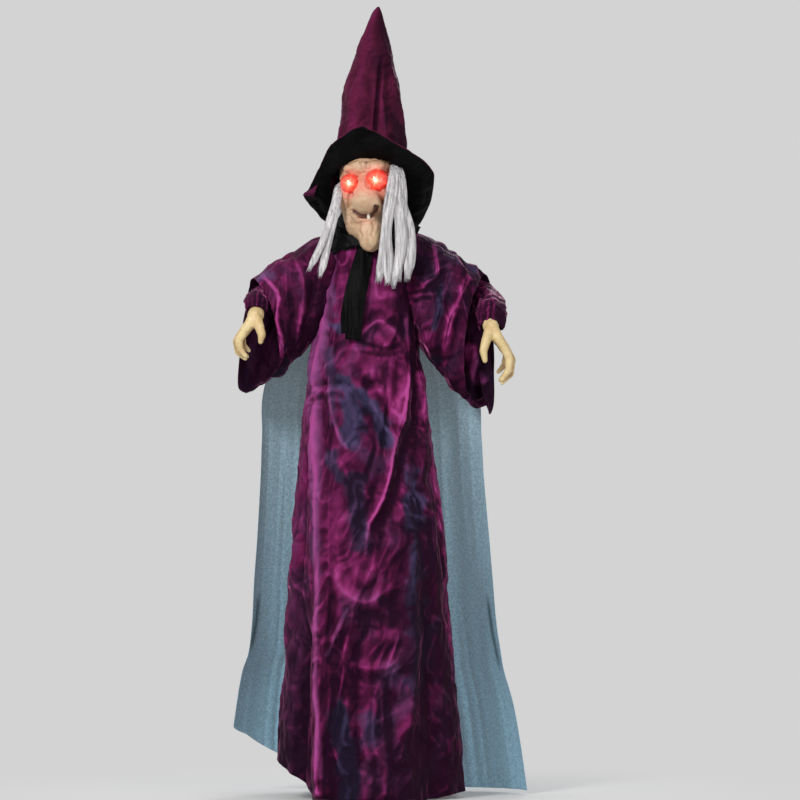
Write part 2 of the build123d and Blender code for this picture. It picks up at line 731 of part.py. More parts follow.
def make_head():
    outer = head_loft(0)
    inner = head_loft(MASK_WALL)
    nose = limb([(head_point(0, y, z), radius) for y, z, radius in NOSE])
    coronal = Plane(origin=head_point(0, 6, 0), x_dir=HEAD.x_dir, z_dir=HEAD.y_dir)
    with BuildPart() as neck_room:
        # the collar and scarf pass below the skull here
        with BuildSketch(Plane.XY.offset(1080)):
            Circle(60)
        extrude(amount=96)

    with BuildPart() as skull_shell:
        add(outer)
        add(inner, mode=Mode.SUBTRACT)
        split(bisect_by=coronal, keep=Keep.TOP)
        add(neck_room.part, mode=Mode.SUBTRACT)
    save(skull_shell.part, "skull_shell")

    with BuildPart() as face_mask:
        add(outer)
        add(nose)
        add(inner, mode=Mode.SUBTRACT)
        split(bisect_by=coronal, keep=Keep.BOTTOM)
        add(neck_room.part, mode=Mode.SUBTRACT)
        # eye holes and mouth
        facing = Plane(origin=head_point(0, 0, 0), x_dir=HEAD.x_dir, z_dir=-HEAD.y_dir)
        with BuildSketch(facing):
            with Locations((-EYE_X, EYE_Z), (EYE_X, EYE_Z)):
                Circle(EYE_RADIUS + 0.4)
        extrude(amount=110, mode=Mode.SUBTRACT)
        with BuildSketch(facing):
            with Locations((0, MOUTH_Z)):
                SlotOverall(38, 6)
        extrude(amount=120, mode=Mode.SUBTRACT)
    save(face_mask.part, "face_mask")

    for name, x in (("right_eye_lens", -EYE_X), ("left_eye_lens", EYE_X)):
        centre = head_point(x, -58, EYE_Z)
        behind = Plane(origin=centre, x_dir=HEAD.x_dir, z_dir=-HEAD.y_dir)
        with BuildPart() as lens:
            with Locations(Location(centre)):
                Sphere(EYE_RADIUS)
                Sphere(EYE_RADIUS - 1.5, mode=Mode.SUBTRACT)
            split(bisect_by=behind, keep=Keep.TOP)
        save(lens.part, name)

    with BuildPart() as eye_leds:
        for x in (-EYE_X, EYE_X):
            base = Plane(origin=head_point(x, -48, EYE_Z), x_dir=HEAD.x_dir, z_dir=-HEAD.y_dir)
            with BuildSketch(base):
                Circle(2.9)
            extrude(amount=1)
            with BuildSketch(base.offset(1)):
                Circle(2.5)
            extrude(amount=6)
            with Locations(Location(head_point(x, -55, EYE_Z))):
                Sphere(2.5)
    save(eye_leds.part, "eye_leds")

    with BuildPart() as led_bracket:
        bracket = Plane(origin=head_point(0, -48, EYE_Z), x_dir=HEAD.x_dir, z_dir=HEAD.y_dir)
        with BuildSketch(bracket):
            RectangleRounded(2 * EYE_X + 18, 12, 3)
            Circle(2.2, mode=Mode.SUBTRACT)
        extrude(amount=2)
    save(led_bracket.part, "led_bracket")

    # the plate that carries the head on the neck shaft
    plate = HEAD.offset(NECK_PLATE_Z)
    with BuildPart() as neck_mount:
        with BuildSketch(plate):
            with Locations((0, -16)):
                Ellipse(50.8, 61.8)
            for x in (-30, 30):
                with Locations((x, -16)):
                    SlotOverall(60, 16, rotation=90, mode=Mode.SUBTRACT)
            with Locations((0, -52)):
                Circle(13, mode=Mode.SUBTRACT)
        extrude(amount=4)
        with BuildSketch(Plane.XY.offset(1174)):
            Circle(12)
        extrude(amount=SHAFT_TOP + 2 - 1174)
        with BuildSketch(Plane.XY.offset(1170)):
            Circle(SHAFT_RADIUS)
        extrude(amount=SHAFT_TOP - 1170, mode=Mode.SUBTRACT)
        with BuildSketch(Plane.XY.offset(1170)):
            Circle(SHAFT_BORE)
        extrude(amount=40, mode=Mode.SUBTRACT)
    save(neck_mount.part, "neck_mount")

    # eye lead: up the hollow neck shaft, then forward to the LED bracket
    with BuildPart() as eye_lead:
        top = head_point(0, -45.8, EYE_Z)
        with BuildLine():
            FilletPolyline((0, 0, LEAD_BOTTOM), (0, 0, top.Z), top, radius=18)
        with BuildSketch(Plane.XY.offset(LEAD_BOTTOM)):
            Circle(1.6)
        sweep()
    save(eye_lead.part, "eye_lead")


# ---- Hair, hat and clothes ----------------------------------------------------------------
# All of the hair hangs from the head and turns with it.
HAIR = {
    # (z, x, y, half width, half thickness, turn in degrees) of a lock's sections, top to bottom
    "right_hair": (
        (1258, -74, -56, 14, 5, -60),
        (1200, -88, -72, 17, 6, -50),
        (1140, -98, -94, 18, 6, -42),
        (1068, -101, -108, 15, 5, -40),
    ),
    "left_hair": (
        (1262, 67, -66, 20, 5, 48),
        (1200, 68, -90, 26, 6, 40),
        (1130, 58, -112, 32, 6, 26),
        (1044, 56, -118, 32, 6, 22),
    ),
}


def make_hair():
    for name, sections in HAIR.items():
        with BuildPart() as lock:
            for z, x, y, half_width, half_thickness, turn in sections:
                with BuildSketch(Plane.XY.offset(z)):
                    with Locations(Location((x, y), turn)):
                        Ellipse(half_width, half_thickness)
            loft(ruled=True)
        save(lock.part, name)

    with BuildPart() as back_hair:
        for inset, mode in ((0, Mode.ADD), (8, Mode.SUBTRACT)):
            for z, half_width, half_depth in ((1168, 76, 68), (1141, 78, 70)):
                with BuildSketch(Plane.XY.offset(z)):
                    with Locations((0, -2)):
                        Ellipse(half_width - inset, half_depth - inset)
            loft(mode=mode)
        split(bisect_by=Plane(origin=(0, 8, 0), z_dir=(0, 1, 0)), keep=Keep.TOP)
    save(back_hair.part, "back_hair")


# The hat sits tilted back: its brim is a flat disc whose front stands high over the face.
BRIM_CENTRE = (0, -12, 1248)
BRIM_TILT = 43
BRIM_HALF = (130, 142)  # half width, half length down the slope
RING_HALF = (80, 100)
FELT = 2.2
# z, x, y, radius up the crown
CROWN = ((1352, 4, 2, 66), (1432, 5, 5, 53), (1513, 9, 9, 34), (1565, 12, 12, 17), (HEIGHT, 16, 14, 2))


def make_hat():
    tilt = radians(BRIM_TILT)
    slope = Plane(origin=BRIM_CENTRE, x_dir=(1, 0, 0), z_dir=(0, sin(tilt), cos(tilt)))
    with BuildPart() as hat_brim:
        with BuildSketch(slope):
            Ellipse(*BRIM_HALF)
            Ellipse(RING_HALF[0] - CLOTH, RING_HALF[1] - CLOTH, mode=Mode.SUBTRACT)
        extrude(amount=FELT)
    save(hat_brim.part, "hat_brim")

    with BuildPart() as hat_crown:
        for inset, mode in ((0, Mode.ADD), (CLOTH, Mode.SUBTRACT)):
            with BuildSketch(slope.offset(FELT)):
                Ellipse(RING_HALF[0] - inset, RING_HALF[1] - inset)
            for z, x, y, radius in CROWN:
                lift = inset * 4 if z == HEIGHT else 0
                with BuildSketch(Plane.XY.offset(z - lift)):
                    with Locations((x, y)):
                        Circle(max(0.6, radius - inset))
            loft(ruled=True, mode=mode)
    save(hat_crown.part, "hat_crown")


DRESS = (
    # z, centre x, half width, half depth
    (5, 0, 190, 172),
    (300, -1, 174, 152),
    (560, -2, 151, 132),
    (700, -2, 141, 116),
    (860, -6, 122, 98),
    (960, -8, 104, 84),
    (1040, -6, 90, 74),
    (1090, -2, 83, 66),
    (1122, 0, 62, 56),
)
CAPE = (
    # z, centre x, half width, y of the edges, depth behind them
    (12, 18, 297, 66, 122),
    (420, 6, 250, 68, 98),
    (830, 1, 218, 72, 56),
    (1000, 0, 150, 74, 34),
    (1116, 0, 92, 66, 16),
)


def make_dress():
    with BuildPart() as dress:
        for inset, mode in ((0, Mode.ADD), (CLOTH, Mode.SUBTRACT)):
            for z, x, half_width, half_depth in DRESS:
                with BuildSketch(Plane.XY.offset(z)):
                    with Locations((x, 0)):
                        Ellipse(half_width - inset, half_depth - inset)
            loft(ruled=True, mode=mode)
        with BuildSketch(Plane.YZ.offset(-150)):
            with Locations((PIVOT_Y, PIVOT_Z - 8)):
                Circle(34)
        extrude(amount=300, mode=Mode.SUBTRACT)
    save(dress.part, "dress")

    with BuildPart() as collar:
        with BuildSketch(Plane.XZ):
            with BuildLine():
                Polyline((22, 1104), (44, 1104), (56, 1130), (52, 1160), (24, 1160), close=True)
            make_face()
            fillet(vertices(), 5)
        revolve(axis=Axis.Z)
    save(collar.part, "collar")

    with BuildPart() as neck_tie:
        with BuildSketch(Plane.YZ.offset(-49)):
            with BuildLine():
                Polyline(
                    (-65, 1101), (-70, 1090), (-79, 1040), (-90, 960), (-96, 918),
                    (-99, 918), (-93, 960), (-82, 1040), (-73, 1090), (-68, 1101),
                    close=True,
                )
            make_face()
        extrude(amount=40)
    save(neck_tie.part, "neck_tie")

    with BuildPart() as cape:
        for z, x, half_width, edge_y, depth in CAPE:
            with BuildSketch(Plane.XY.offset(z)):
                with BuildLine():
                    right = (x - half_width, edge_y)
                    left = (x + half_width, edge_y)
                    right_inside = (x - half_width + 1, edge_y - 1.4)
                    left_inside = (x + half_width - 1, edge_y - 1.4)
                    ThreePointArc(right, (x, edge_y + depth), left)
                    Line(left, left_inside)
                    ThreePointArc(left_inside, (x, edge_y + depth - 2), right_inside)
                    Line(right_inside, right)
                make_face()
        loft(ruled=True)
    save(cape.part, "cape")


make_stand()
make_torso_shells()
make_drive()
make_electronics()
make_shoulder_bar()
for arm, shape in ARMS.items():
    make_arm(arm, **shape)
make_head()
make_hair()
make_hat()
make_dress()
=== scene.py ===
"""The looks of the animated witch figure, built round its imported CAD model.

Shapes are worked out in millimetres in the row frame (+Z up, the figure faces -Y) and turned into metres
where a mesh is made. "right" and "left" are the figure's own sides: the right arm is on the -X side.
"""
import json
import math
from itertools import product

import bmesh
import bpy
import numpy as np
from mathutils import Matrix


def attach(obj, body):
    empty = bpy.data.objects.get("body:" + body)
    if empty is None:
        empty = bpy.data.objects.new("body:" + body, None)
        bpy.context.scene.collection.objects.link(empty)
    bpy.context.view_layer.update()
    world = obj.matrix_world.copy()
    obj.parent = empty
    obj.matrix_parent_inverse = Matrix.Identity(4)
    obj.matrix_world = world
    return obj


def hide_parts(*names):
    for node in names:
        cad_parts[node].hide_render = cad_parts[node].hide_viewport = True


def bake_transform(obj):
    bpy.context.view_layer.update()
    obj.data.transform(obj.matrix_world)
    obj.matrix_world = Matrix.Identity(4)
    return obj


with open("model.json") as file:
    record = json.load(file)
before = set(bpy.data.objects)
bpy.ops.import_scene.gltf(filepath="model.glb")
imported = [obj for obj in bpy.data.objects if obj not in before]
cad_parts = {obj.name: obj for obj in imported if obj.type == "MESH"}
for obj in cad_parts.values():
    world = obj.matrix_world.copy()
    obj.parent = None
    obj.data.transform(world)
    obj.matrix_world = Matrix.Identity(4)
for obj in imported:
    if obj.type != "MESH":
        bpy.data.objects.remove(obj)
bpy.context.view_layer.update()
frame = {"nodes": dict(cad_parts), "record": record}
MM = 0.001


# ---- Noise and curves ---------------------------------------------------------------------
def lattice(cell, seed):
    """A repeatable number from -1 to 1 for each whole-numbered cell."""
    mixed = cell[:, 0] * 73856093 ^ cell[:, 1] * 19349663 ^ cell[:, 2] * 83492791 ^ (seed + 1) * 2654435761
    mixed = ((mixed ^ (mixed >> 13)) * 1274126177) & 0x7FFFFFFF
    return ((mixed ^ (mixed >> 16)) & 0xFFFF) / 32767.5 - 1


def smooth_noise(points, seed=0):
    """Noise from -1 to 1 with a grain of one unit, at points of shape (n, 3)."""
    cell = np.floor(points).astype(np.int64)
    part = points - cell
    part = part * part * (3 - 2 * part)
    total = np.zeros(len(points))
    for corner in product((0, 1), repeat=3):
        share = np.prod(np.where(np.array(corner) == 1, part, 1 - part), axis=1)
        total += share * lattice(cell + np.array(corner), seed)
    return total


def layered_noise(points, octaves=3, seed=0):
    return sum(smooth_noise(points * 2**i, seed + i) / 2**i for i in range(octaves))


def creases(points, octaves=3, seed=0, sharpness=1.0):
    """Narrow ridges between broad hollows, from about 0 to 1, as in a crushed cloth."""
    total = np.zeros(len(points))
    weight = 0.0
    for i in range(octaves):
        ridge = np.clip(1 - 2.2 * np.abs(smooth_noise(points * 1.9**i + 7.3 * i, seed + 11 * i)), 0, 1)
        total += ridge ** (1 + sharpness) / 1.7**i
        weight += 1 / 1.7**i
    return total / weight


def crumple(points, octaves=3, seed=0):
    """Flat facets meeting in sharp creases that stand out and dip in turn, about -0.5 to 0.5."""
    total = np.zeros(len(points))
    for i in range(octaves):
        bent = np.abs(smooth_noise(points * 1.85**i + 3.7 * i, seed + 7 * i)) - 0.32
        total += (1 if i % 2 else -1) * bent / 1.75**i
    return total


def curve_through(points, count, closed=False):
    """count points along a smooth curve through the given ones."""
    points = np.asarray(points, float)
    n = len(points)
    if closed:
        at = np.arange(count) / count * n
        index = np.floor(at).astype(int)
        p = [points[(index + k) % n] for k in (-1, 0, 1, 2)]
    else:
        at = np.linspace(0, n - 1, count)
        index = np.clip(np.floor(at).astype(int), 0, n - 2)
        padded = np.vstack([2 * points[0] - points[1], points, 2 * points[-1] - points[-2]])
        p = [padded[index + k] for k in range(4)]
    t = (at - index)[:, None]
    return 0.5 * (
        2 * p[1] + (p[2] - p[0]) * t
        + (2 * p[0] - 5 * p[1] + 4 * p[2] - p[3]) * t**2
        + (3 * p[1] - p[0] - 3 * p[2] + p[3]) * t**3
    )


def surface_through(rings, rows, columns, closed=True):
    """A grid of points, (rows, columns, 3), through rings of control points."""
    rings = np.array([curve_through(ring, columns, closed) for ring in rings])
    return np.stack([curve_through(rings[:, c], rows) for c in range(columns)], axis=1)


def table_at(table, at):
    """Smooth values of a table's other columns at values of its first column."""
    table = np.asarray(table, float)
    fine = curve_through(table, 40 * len(table))
    return [np.interp(at, fine[:, 0], fine[:, k]) for k in range(1, table.shape[1])]


def turns(count):
    """count angles evenly round a full turn."""
    return np.arange(count) / count * 2 * math.pi


def bump_at(gap, width, power=2):
    """A soft hump: 1 where gap is nothing, fading to 0 beyond width."""
    return np.exp(-(np.abs(gap) / width) ** power)


def near(points, centre, reach):
    return bump_at(np.linalg.norm(points - centre, axis=1), reach)


def step(low, high, value):
    """0 below low, 1 above high, with a smooth rise between them; it falls where low is above high."""
    t = np.clip((value - low) / (high - low), 0, 1)
    return t * t * (3 - 2 * t)


def polyline_distance(points, line):
    """Distance of 2-D points to a line of 2-D points, and the share of the line at that place."""
    line = np.asarray(line, float)
    best = np.full(len(points), 1e9)
    along = np.zeros(len(points))
    for i, (a, b) in enumerate(zip(line, line[1:])):
        d = b - a
        t = np.clip(((points - a) @ d) / (d @ d), 0, 1)
        gap = np.linalg.norm(points - a - t[:, None] * d, axis=1)
        nearer = gap < best
        best[nearer] = gap[nearer]
        along[nearer] = (i + t[nearer]) / (len(line) - 1)
    return best, along


# ---- Meshes -------------------------------------------------------------------------------
def new_object(name, points_mm, faces, material):
    mesh = bpy.data.meshes.new(name)
    mesh.from_pydata((np.asarray(points_mm, float) * MM).tolist(), [], faces)
    mesh.polygons.foreach_set("use_smooth", [True] * len(mesh.polygons))
    mesh.update()
    obj = bpy.data.objects.new(name, mesh)
    bpy.context.scene.collection.objects.link(obj)
    obj.data.materials.append(material)
    return obj


def grid_faces(rows, columns, closed, start=0):
    faces = []
    for r in range(rows - 1):
        for c in range(columns if closed else columns - 1):
            d = (c + 1) % columns
            a, b = start + r * columns, start + (r + 1) * columns
            faces.append((a + c, a + d, b + d, b + c))
    return faces


def grid_normals(points, closed):
    """Unit normals of a (rows, columns, 3) grid."""
    if closed:
        across = np.roll(points, -1, axis=1) - np.roll(points, 1, axis=1)
    else:
        across = np.gradient(points, axis=1)
    along = np.gradient(points, axis=0)
    normal = np.cross(across, along)
    return normal / np.maximum(np.linalg.norm(normal, axis=2, keepdims=True), 1e-9)


def grid_convexity(points, closed):
    """How far each place stands out from its surroundings, at several scales, about -1 to 1."""
    normal = grid_normals(points, closed)
    total = np.zeros(points.shape[:2])
    for reach in (1, 2, 4):
        padded = np.pad(points, ((reach, reach), (0, 0), (0, 0)), mode="edge")
        mean_rows = (padded[: -2 * reach] + padded[2 * reach:]) / 2
        if closed:
            mean_columns = (np.roll(points, reach, axis=1) + np.roll(points, -reach, axis=1)) / 2
        else:
            padded = np.pad(points, ((0, 0), (reach, reach), (0, 0)), mode="edge")
            mean_columns = (padded[:, : -2 * reach] + padded[:, 2 * reach:]) / 2
        out = ((2 * points - mean_rows - mean_columns) * normal).sum(axis=2)
        total += out / reach
    return total


def fit(piece, body, slot, *nodes):
    """Gives a piece its body and hides the CAD nodes that it stands for; the slot is not used."""
    if nodes:
        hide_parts(*nodes)
    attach(piece, body)


def set_attribute(obj, name, values):
    data = obj.data.attributes.new(name, "FLOAT", "POINT")
    data.data.foreach_set("value", np.asarray(values, float).ravel())


PAINTED_LIGHT_FROM = (-0.62, -0.60, 0.62)  # the side from which the painted light falls: cloth facing it gets a painted highlight, cloth facing away painted shade


def cloth_grid(name, points, material, closed, outward=1.0, thickness=1.0, glow=0.0, cool=0.0):
    """A cloth piece from a grid of points.

    Its first attribute is painted light and shade: it rises on ridges, leaving painted shade in the
    hollows, on what faces the painted light side and where glow adds painted highlights and shade; "cool"
    marks where the cloth's blue thread shows.
    """
    rows, columns = points.shape[:2]
    obj = new_object(name, points.reshape(-1, 3), grid_faces(rows, columns, closed), material)
    convexity = outward * grid_convexity(points, closed)
    facing = outward * (grid_normals(points, closed) @ (np.array(PAINTED_LIGHT_FROM) / np.linalg.norm(PAINTED_LIGHT_FROM)))
    # painted light: lighter on ridges and on what faces the painted light side, darker in hollows and on
    # what faces away
    set_attribute(obj, "painted_light", np.clip(0.19 + 0.32 * facing + convexity * 0.07 + glow, 0, 1))
    set_attribute(obj, "cool", np.clip(cool, 0, 1) * np.ones((rows, columns)))
    solidify = obj.modifiers.new("Thickness", "SOLIDIFY")
    solidify.thickness = thickness * MM
    solidify.offset = 0
    return obj


def tube_points(path, radii, sides, squash=1.0):
    """Points of a tube, (len(path), sides, 3), round a path in 3-D, with a steady frame."""
    path = np.asarray(path, float)
    tangent = np.gradient(path, axis=0)
    tangent /= np.linalg.norm(tangent, axis=1, keepdims=True)
    side = np.cross(tangent[0], (0.31, 0.95, 0.05))
    rings = []
    for i, t in enumerate(tangent):
        side = side - t * (side @ t)
        side /= np.linalg.norm(side)
        up = np.cross(t, side)
        angle = turns(sides)
        ring = np.cos(angle)[:, None] * side + np.sin(angle)[:, None] * up * squash
        rings.append(path[i] + ring * np.asarray(radii, float)[i])
    return np.array(rings)


def capped(points, start):
    """Faces of a tube of rings closed at both ends, its points counted from start."""
    rows, columns = points.shape[:2]
    faces = grid_faces(rows, columns, True, start)
    faces.append(tuple(start + c for c in range(columns))[::-1])
    faces.append(tuple(start + (rows - 1) * columns + c for c in range(columns)))
    return faces


def joined_tubes(name, tubes, material):
    """One object of several capped tubes, each (rows, sides, 3)."""
    points, faces = [], []
    count = 0
    for tube in tubes:
        points.append(tube.reshape(-1, 3))
        faces += capped(tube, count)
        count += tube.shape[0] * tube.shape[1]
    return new_object(name, np.vstack(points), faces, material)


SKIN_VOXEL = 1.9  # the finest detail of a remeshed skin, in millimetres


def blob_mesh(name, balls, smoothing):
    """One smooth skin round ellipsoids and tapered limbs.

    balls holds (centre, radii) for an ellipsoid and (a, ra, b, rb) for a limb, in millimetres.
    """
    bm = bmesh.new()
    for ball in balls:
        if len(ball) == 2:
            made = bmesh.ops.create_icosphere(bm, subdivisions=4, radius=1)["verts"]
            centre, radii = np.array(ball[0], float), np.ones(3) * ball[1]
            for v in made:
                v.co = centre + radii * np.array(v.co)
        else:
            a, ra, b, rb = ball
            steps = np.linspace(0, 1, 7)[:, None]
            line = np.array(a) * (1 - steps) + np.array(b) * steps
            for centre, share in zip(line, steps[:, 0]):
                made = bmesh.ops.create_icosphere(bm, subdivisions=3, radius=1)["verts"]
                for v in made:
                    v.co = centre + (ra * (1 - share) + rb * share) * np.array(v.co)
    mesh = bpy.data.meshes.new(name)
    bm.to_mesh(mesh)
    bm.free()
    rough = bpy.data.objects.new(name + "_rough", mesh)
    bpy.context.scene.collection.objects.link(rough)
    remesh = rough.modifiers.new("Skin", "REMESH")
    remesh.mode = "VOXEL"
    remesh.voxel_size = SKIN_VOXEL
    smooth = rough.modifiers.new("Soften", "SMOOTH")
    smooth.iterations = smoothing
    smooth.factor = 0.5
    shaped = bpy.data.meshes.new_from_object(rough.evaluated_get(bpy.context.evaluated_depsgraph_get()))
    bpy.data.objects.remove(rough)
    bpy.data.meshes.remove(mesh)
    points = np.empty(len(shaped.vertices) * 3)
    shaped.vertices.foreach_get("co", points)
    faces = [tuple(p.vertices) for p in shaped.polygons]
    bpy.data.meshes.remove(shaped)
    return points.reshape(-1, 3), faces


def vertex_normals(points, faces):
    normal = np.zeros_like(points)
    quads = np.array([f for f in faces if len(f) == 4])
    n = np.cross(points[quads[:, 2]] - points[quads[:, 0]], points[quads[:, 3]] - points[quads[:, 1]])
    for k in range(4):
        np.add.at(normal, quads[:, k], n)
    return normal / np.maximum(np.linalg.norm(normal, axis=1, keepdims=True), 1e-9)


# ---- Materials ----------------------------------------------------------------------------
class Nodes:
    """A material being wired: each call adds a node and returns its main output."""

    def __init__(self, name):
        self.material = bpy.data.materials.new(name)
        self.material.use_nodes = True
        self.tree = self.material.node_tree
        self.shader = self.tree.nodes["Principled BSDF"]

    def fill(self, socket, value):
        """Links a socket to another node's output, or gives it a value."""
        if hasattr(value, "is_linked"):
            self.tree.links.new(value, socket)
        elif socket.type == "RGBA":
            socket.default_value = (*value, 1)
        else:
            socket.default_value = value

    def add(self, kind, inputs=(), output=0, **settings):
        node = self.tree.nodes.new(kind)
        for key, value in settings.items():
            setattr(node, key, value)
        for key, value in dict(inputs).items():
            self.fill(node.inputs[key], value)
        return node.outputs[output]

    def place(self, scale=(1, 1, 1)):
        at = self.add("ShaderNodeTexCoord", output="Object")
        return self.add("ShaderNodeMapping", {"Vector": at, "Scale": scale})

    def noise(self, scale, detail=3.0, rough=0.55, distortion=0.0, stretch=(1, 1, 1)):
        return self.add(
            "ShaderNodeTexNoise",
            {"Vector": self.place(stretch), "Scale": scale, "Detail": detail, "Roughness": rough,
             "Distortion": distortion},
        )

    def facets(self, scale, warp):
        """Height of flat facets with creases between them; warp bends the creases, in metres."""
        at = self.place((1, 1, 0.72))
        bend = self.add(
            "ShaderNodeTexNoise", {"Vector": at, "Scale": scale * 0.6, "Detail": 2.0}, output="Color")
        centred = self.add("ShaderNodeVectorMath", {0: bend, 1: (0.5, 0.5, 0.5)}, operation="SUBTRACT")
        shift = self.add("ShaderNodeVectorMath", {0: centred, "Scale": warp}, operation="SCALE")
        moved = self.add("ShaderNodeVectorMath", {0: at, 1: shift}, operation="ADD")
        return self.add("ShaderNodeTexVoronoi", {"Vector": moved, "Scale": scale}, output="Distance")

    def ramp(self, value, stops, smooth=False):
        node = self.tree.nodes.new("ShaderNodeValToRGB")
        self.tree.links.new(value, node.inputs[0])
        ramp = node.color_ramp
        ramp.interpolation = "EASE" if smooth else "LINEAR"
        while len(ramp.elements) < len(stops):
            ramp.elements.new(0.5)
        for element, (at, colour) in zip(ramp.elements, stops):
            element.position = at
            element.color = (*colour, 1) if hasattr(colour, "__len__") else (colour, colour, colour, 1)
        return node.outputs[0]

    def mix(self, factor, a, b, blend="MIX"):
        node = self.tree.nodes.new("ShaderNodeMix")
        node.data_type = "RGBA"
        node.blend_type = blend
        # a colour mix keeps its factor, its two colours and its result in these sockets
        for index, value in ((0, factor), (6, a), (7, b)):
            self.fill(node.inputs[index], value)
        return node.outputs[2]

    def math(self, operation, a, b=0.0):
        return self.add("ShaderNodeMath", {0: a, 1: b}, operation=operation)

    def plus(self, value, extra, amount):
        """value + extra * amount"""
        return self.math("ADD", value, self.math("MULTIPLY", extra, amount))

    def varied(self, value, pattern, amount, middle=0.5):
        """value, raised and lowered by a pattern round its middle."""
        return self.plus(value, self.math("SUBTRACT", pattern, middle), amount)

    def attribute(self, name):
        return self.add("ShaderNodeAttribute", output="Fac", attribute_name=name)

    def bump(self, height, strength, distance, after=None):
        inputs = {"Height": height, "Strength": strength, "Distance": distance}
        if after is not None:
            inputs["Normal"] = after
        return self.add("ShaderNodeBump", inputs)

    def set(self, **values):
        """Sets the shader's own sockets; an underscore stands for a space."""
        for key, value in values.items():
            self.fill(self.shader.inputs[key.replace("_", " ")], value)
        return self.material


WAVE_RATE = 20  # a wave texture goes through this many radians in a metre at scale 1


def weave_height(m, pitch):
    """Height of a plain weave; a thread and its gap take 2 pi times pitch, in metres."""
    threads = []
    for direction in ("X", "Z"):
        threads.append(m.add(
            "ShaderNodeTexWave",
            {"Vector": m.place(), "Scale": 1 / pitch / WAVE_RATE, "Distortion": 0.6, "Detail": 1.0},
            output="Fac", wave_type="BANDS", bands_direction=direction,
        ))
    return m.math("MULTIPLY", *threads)


def shot_fabric(name, dark, body, bright, peak, cool, cool_amount, sheen=0.36):
    """Crisp two-tone cloth: painted shade in the hollows and painted highlights on the folds, from its
    painted light attribute, bluer in patches.
    """
    m = Nodes(name)
    threads = m.noise(60, 4, 0.65, 0.2, (1, 1, 0.12))
    patches = m.noise(7, 4, 0.6, 0.5, (1, 1, 0.6))
    large, small = m.facets(24, 0.035), m.facets(62, 0.02)
    shifted = m.varied(m.attribute("painted_light"), threads, 0.20)
    shifted = m.varied(shifted, patches, 0.48)
    # painted light on the crinkle facets: darker in each facet's middle, lighter towards the creases
    # between them
    shifted = m.varied(shifted, large, 0.22, 0.42)
    warm = m.ramp(shifted, ((0.26, dark), (0.46, body), (0.66, bright), (0.92, peak)))
    blue = m.ramp(m.noise(6, 4, 0.62, 1.4, (1, 1, 0.6)), ((0.50, 0.0), (0.62, 1.0)), True)
    blue = m.math("ADD", m.math("MULTIPLY", blue, cool_amount), m.attribute("cool"))
    # the blue thread takes the same painted light and shade
    cold = m.mix(m.ramp(shifted, ((0.25, 0.0), (0.8, 1.0))), cool[0], cool[1])
    colour = m.mix(m.math("MINIMUM", blue, 0.85), warm, cold)
    bumped = m.bump(m.plus(large, small, 0.45), 0.7, 0.008)
    bumped = m.bump(weave_height(m, 0.0007), 0.2, 0.0002, bumped)
    return m.set(
        Base_Color=colour, Roughness=m.ramp(threads, ((0.3, 0.52), (0.7, 0.66))), Normal=bumped,
        Sheen_Weight=sheen, Sheen_Roughness=0.28, Sheen_Tint=(1.0, 0.22, 0.58),
        Specular_IOR_Level=0.05, Specular_Tint=(1.0, 0.3, 0.65),
    )


def black_fabric(name, crush_scale, gloss):
    m = Nodes(name)
    tone = m.ramp(m.noise(30, 4), ((0.3, (0.0008, 0.0008, 0.0009)), (0.7, (0.0035, 0.0035, 0.0038))))
    bumped = m.bump(m.noise(crush_scale, 4, 0.6, 0.8), 0.5, 0.004)
    bumped = m.bump(weave_height(m, 0.0008), 0.3, 0.0002, bumped)
    return m.set(Base_Color=tone, Roughness=0.55, Normal=bumped, Specular_IOR_Level=gloss)


def sheer_mesh(name):
    m = Nodes(name)
    grain = m.noise(230, 3, 0.8)
    high = m.attribute("high")
    dark = m.mix(high, (0.14, 0.35, 0.49), (0.21, 0.38, 0.46))
    light = m.mix(high, (0.34, 0.62, 0.78), (0.47, 0.66, 0.76))
    colour = m.mix(m.ramp(grain, ((0.38, 0.0), (0.62, 1.0))), dark, light)
    colour = m.mix(m.math("MULTIPLY", m.attribute("shade"), 0.75), colour, (0.01, 0.05, 0.07))
    cover = m.math("ADD", m.math("MULTIPLY", grain, 0.30), m.math("MULTIPLY", m.attribute("shade"), 0.15))
    cover = m.math("ADD", cover, 0.56)
    bumped = m.bump(grain, 0.3, 0.0006)
    return m.set(Base_Color=colour, Alpha=cover, Roughness=0.75, Normal=bumped, Sheen_Weight=0.05)


def painted_skin(name, base, light, deep, blush_and_glow):
    """Vinyl skin: darker where its tone attribute is low, as in the creases, and lighter where it is high;
    its second attribute reddens it, for blush and, round the mask's eyes, for a painted glow from the
    lights.
    """
    m = Nodes(name)
    mottled = m.varied(m.attribute("tone"), m.noise(55, 5, 0.65), 0.3)
    colour = m.ramp(mottled, ((0.12, deep), (0.45, base), (0.8, light)))
    colour = m.mix(m.attribute("blush_and_glow"), colour, blush_and_glow)
    bumped = m.bump(m.noise(260, 4, 0.6), 0.25, 0.0012)
    bumped = m.bump(m.noise(70, 4, 0.6), 0.25, 0.003, bumped)
    return m.set(
        Base_Color=colour, Roughness=m.ramp(m.noise(40), ((0.3, 0.42), (0.7, 0.6))), Normal=bumped,
        Subsurface_Weight=0.08, Subsurface_Radius=(0.004, 0.002, 0.001),
    )


def hair_fibre(name):
    m = Nodes(name)
    strand = m.noise(210, 4, 0.7, 0.5, (1, 1, 0.09))
    colour = m.ramp(
        strand, ((0.3, (0.20, 0.19, 0.20)), (0.5, (0.46, 0.44, 0.45)), (0.75, (0.74, 0.73, 0.73))))
    return m.set(
        Base_Color=colour, Roughness=0.62, Normal=m.bump(strand, 0.35, 0.001), Sheen_Weight=0.25,
        Sheen_Roughness=0.5,
    )


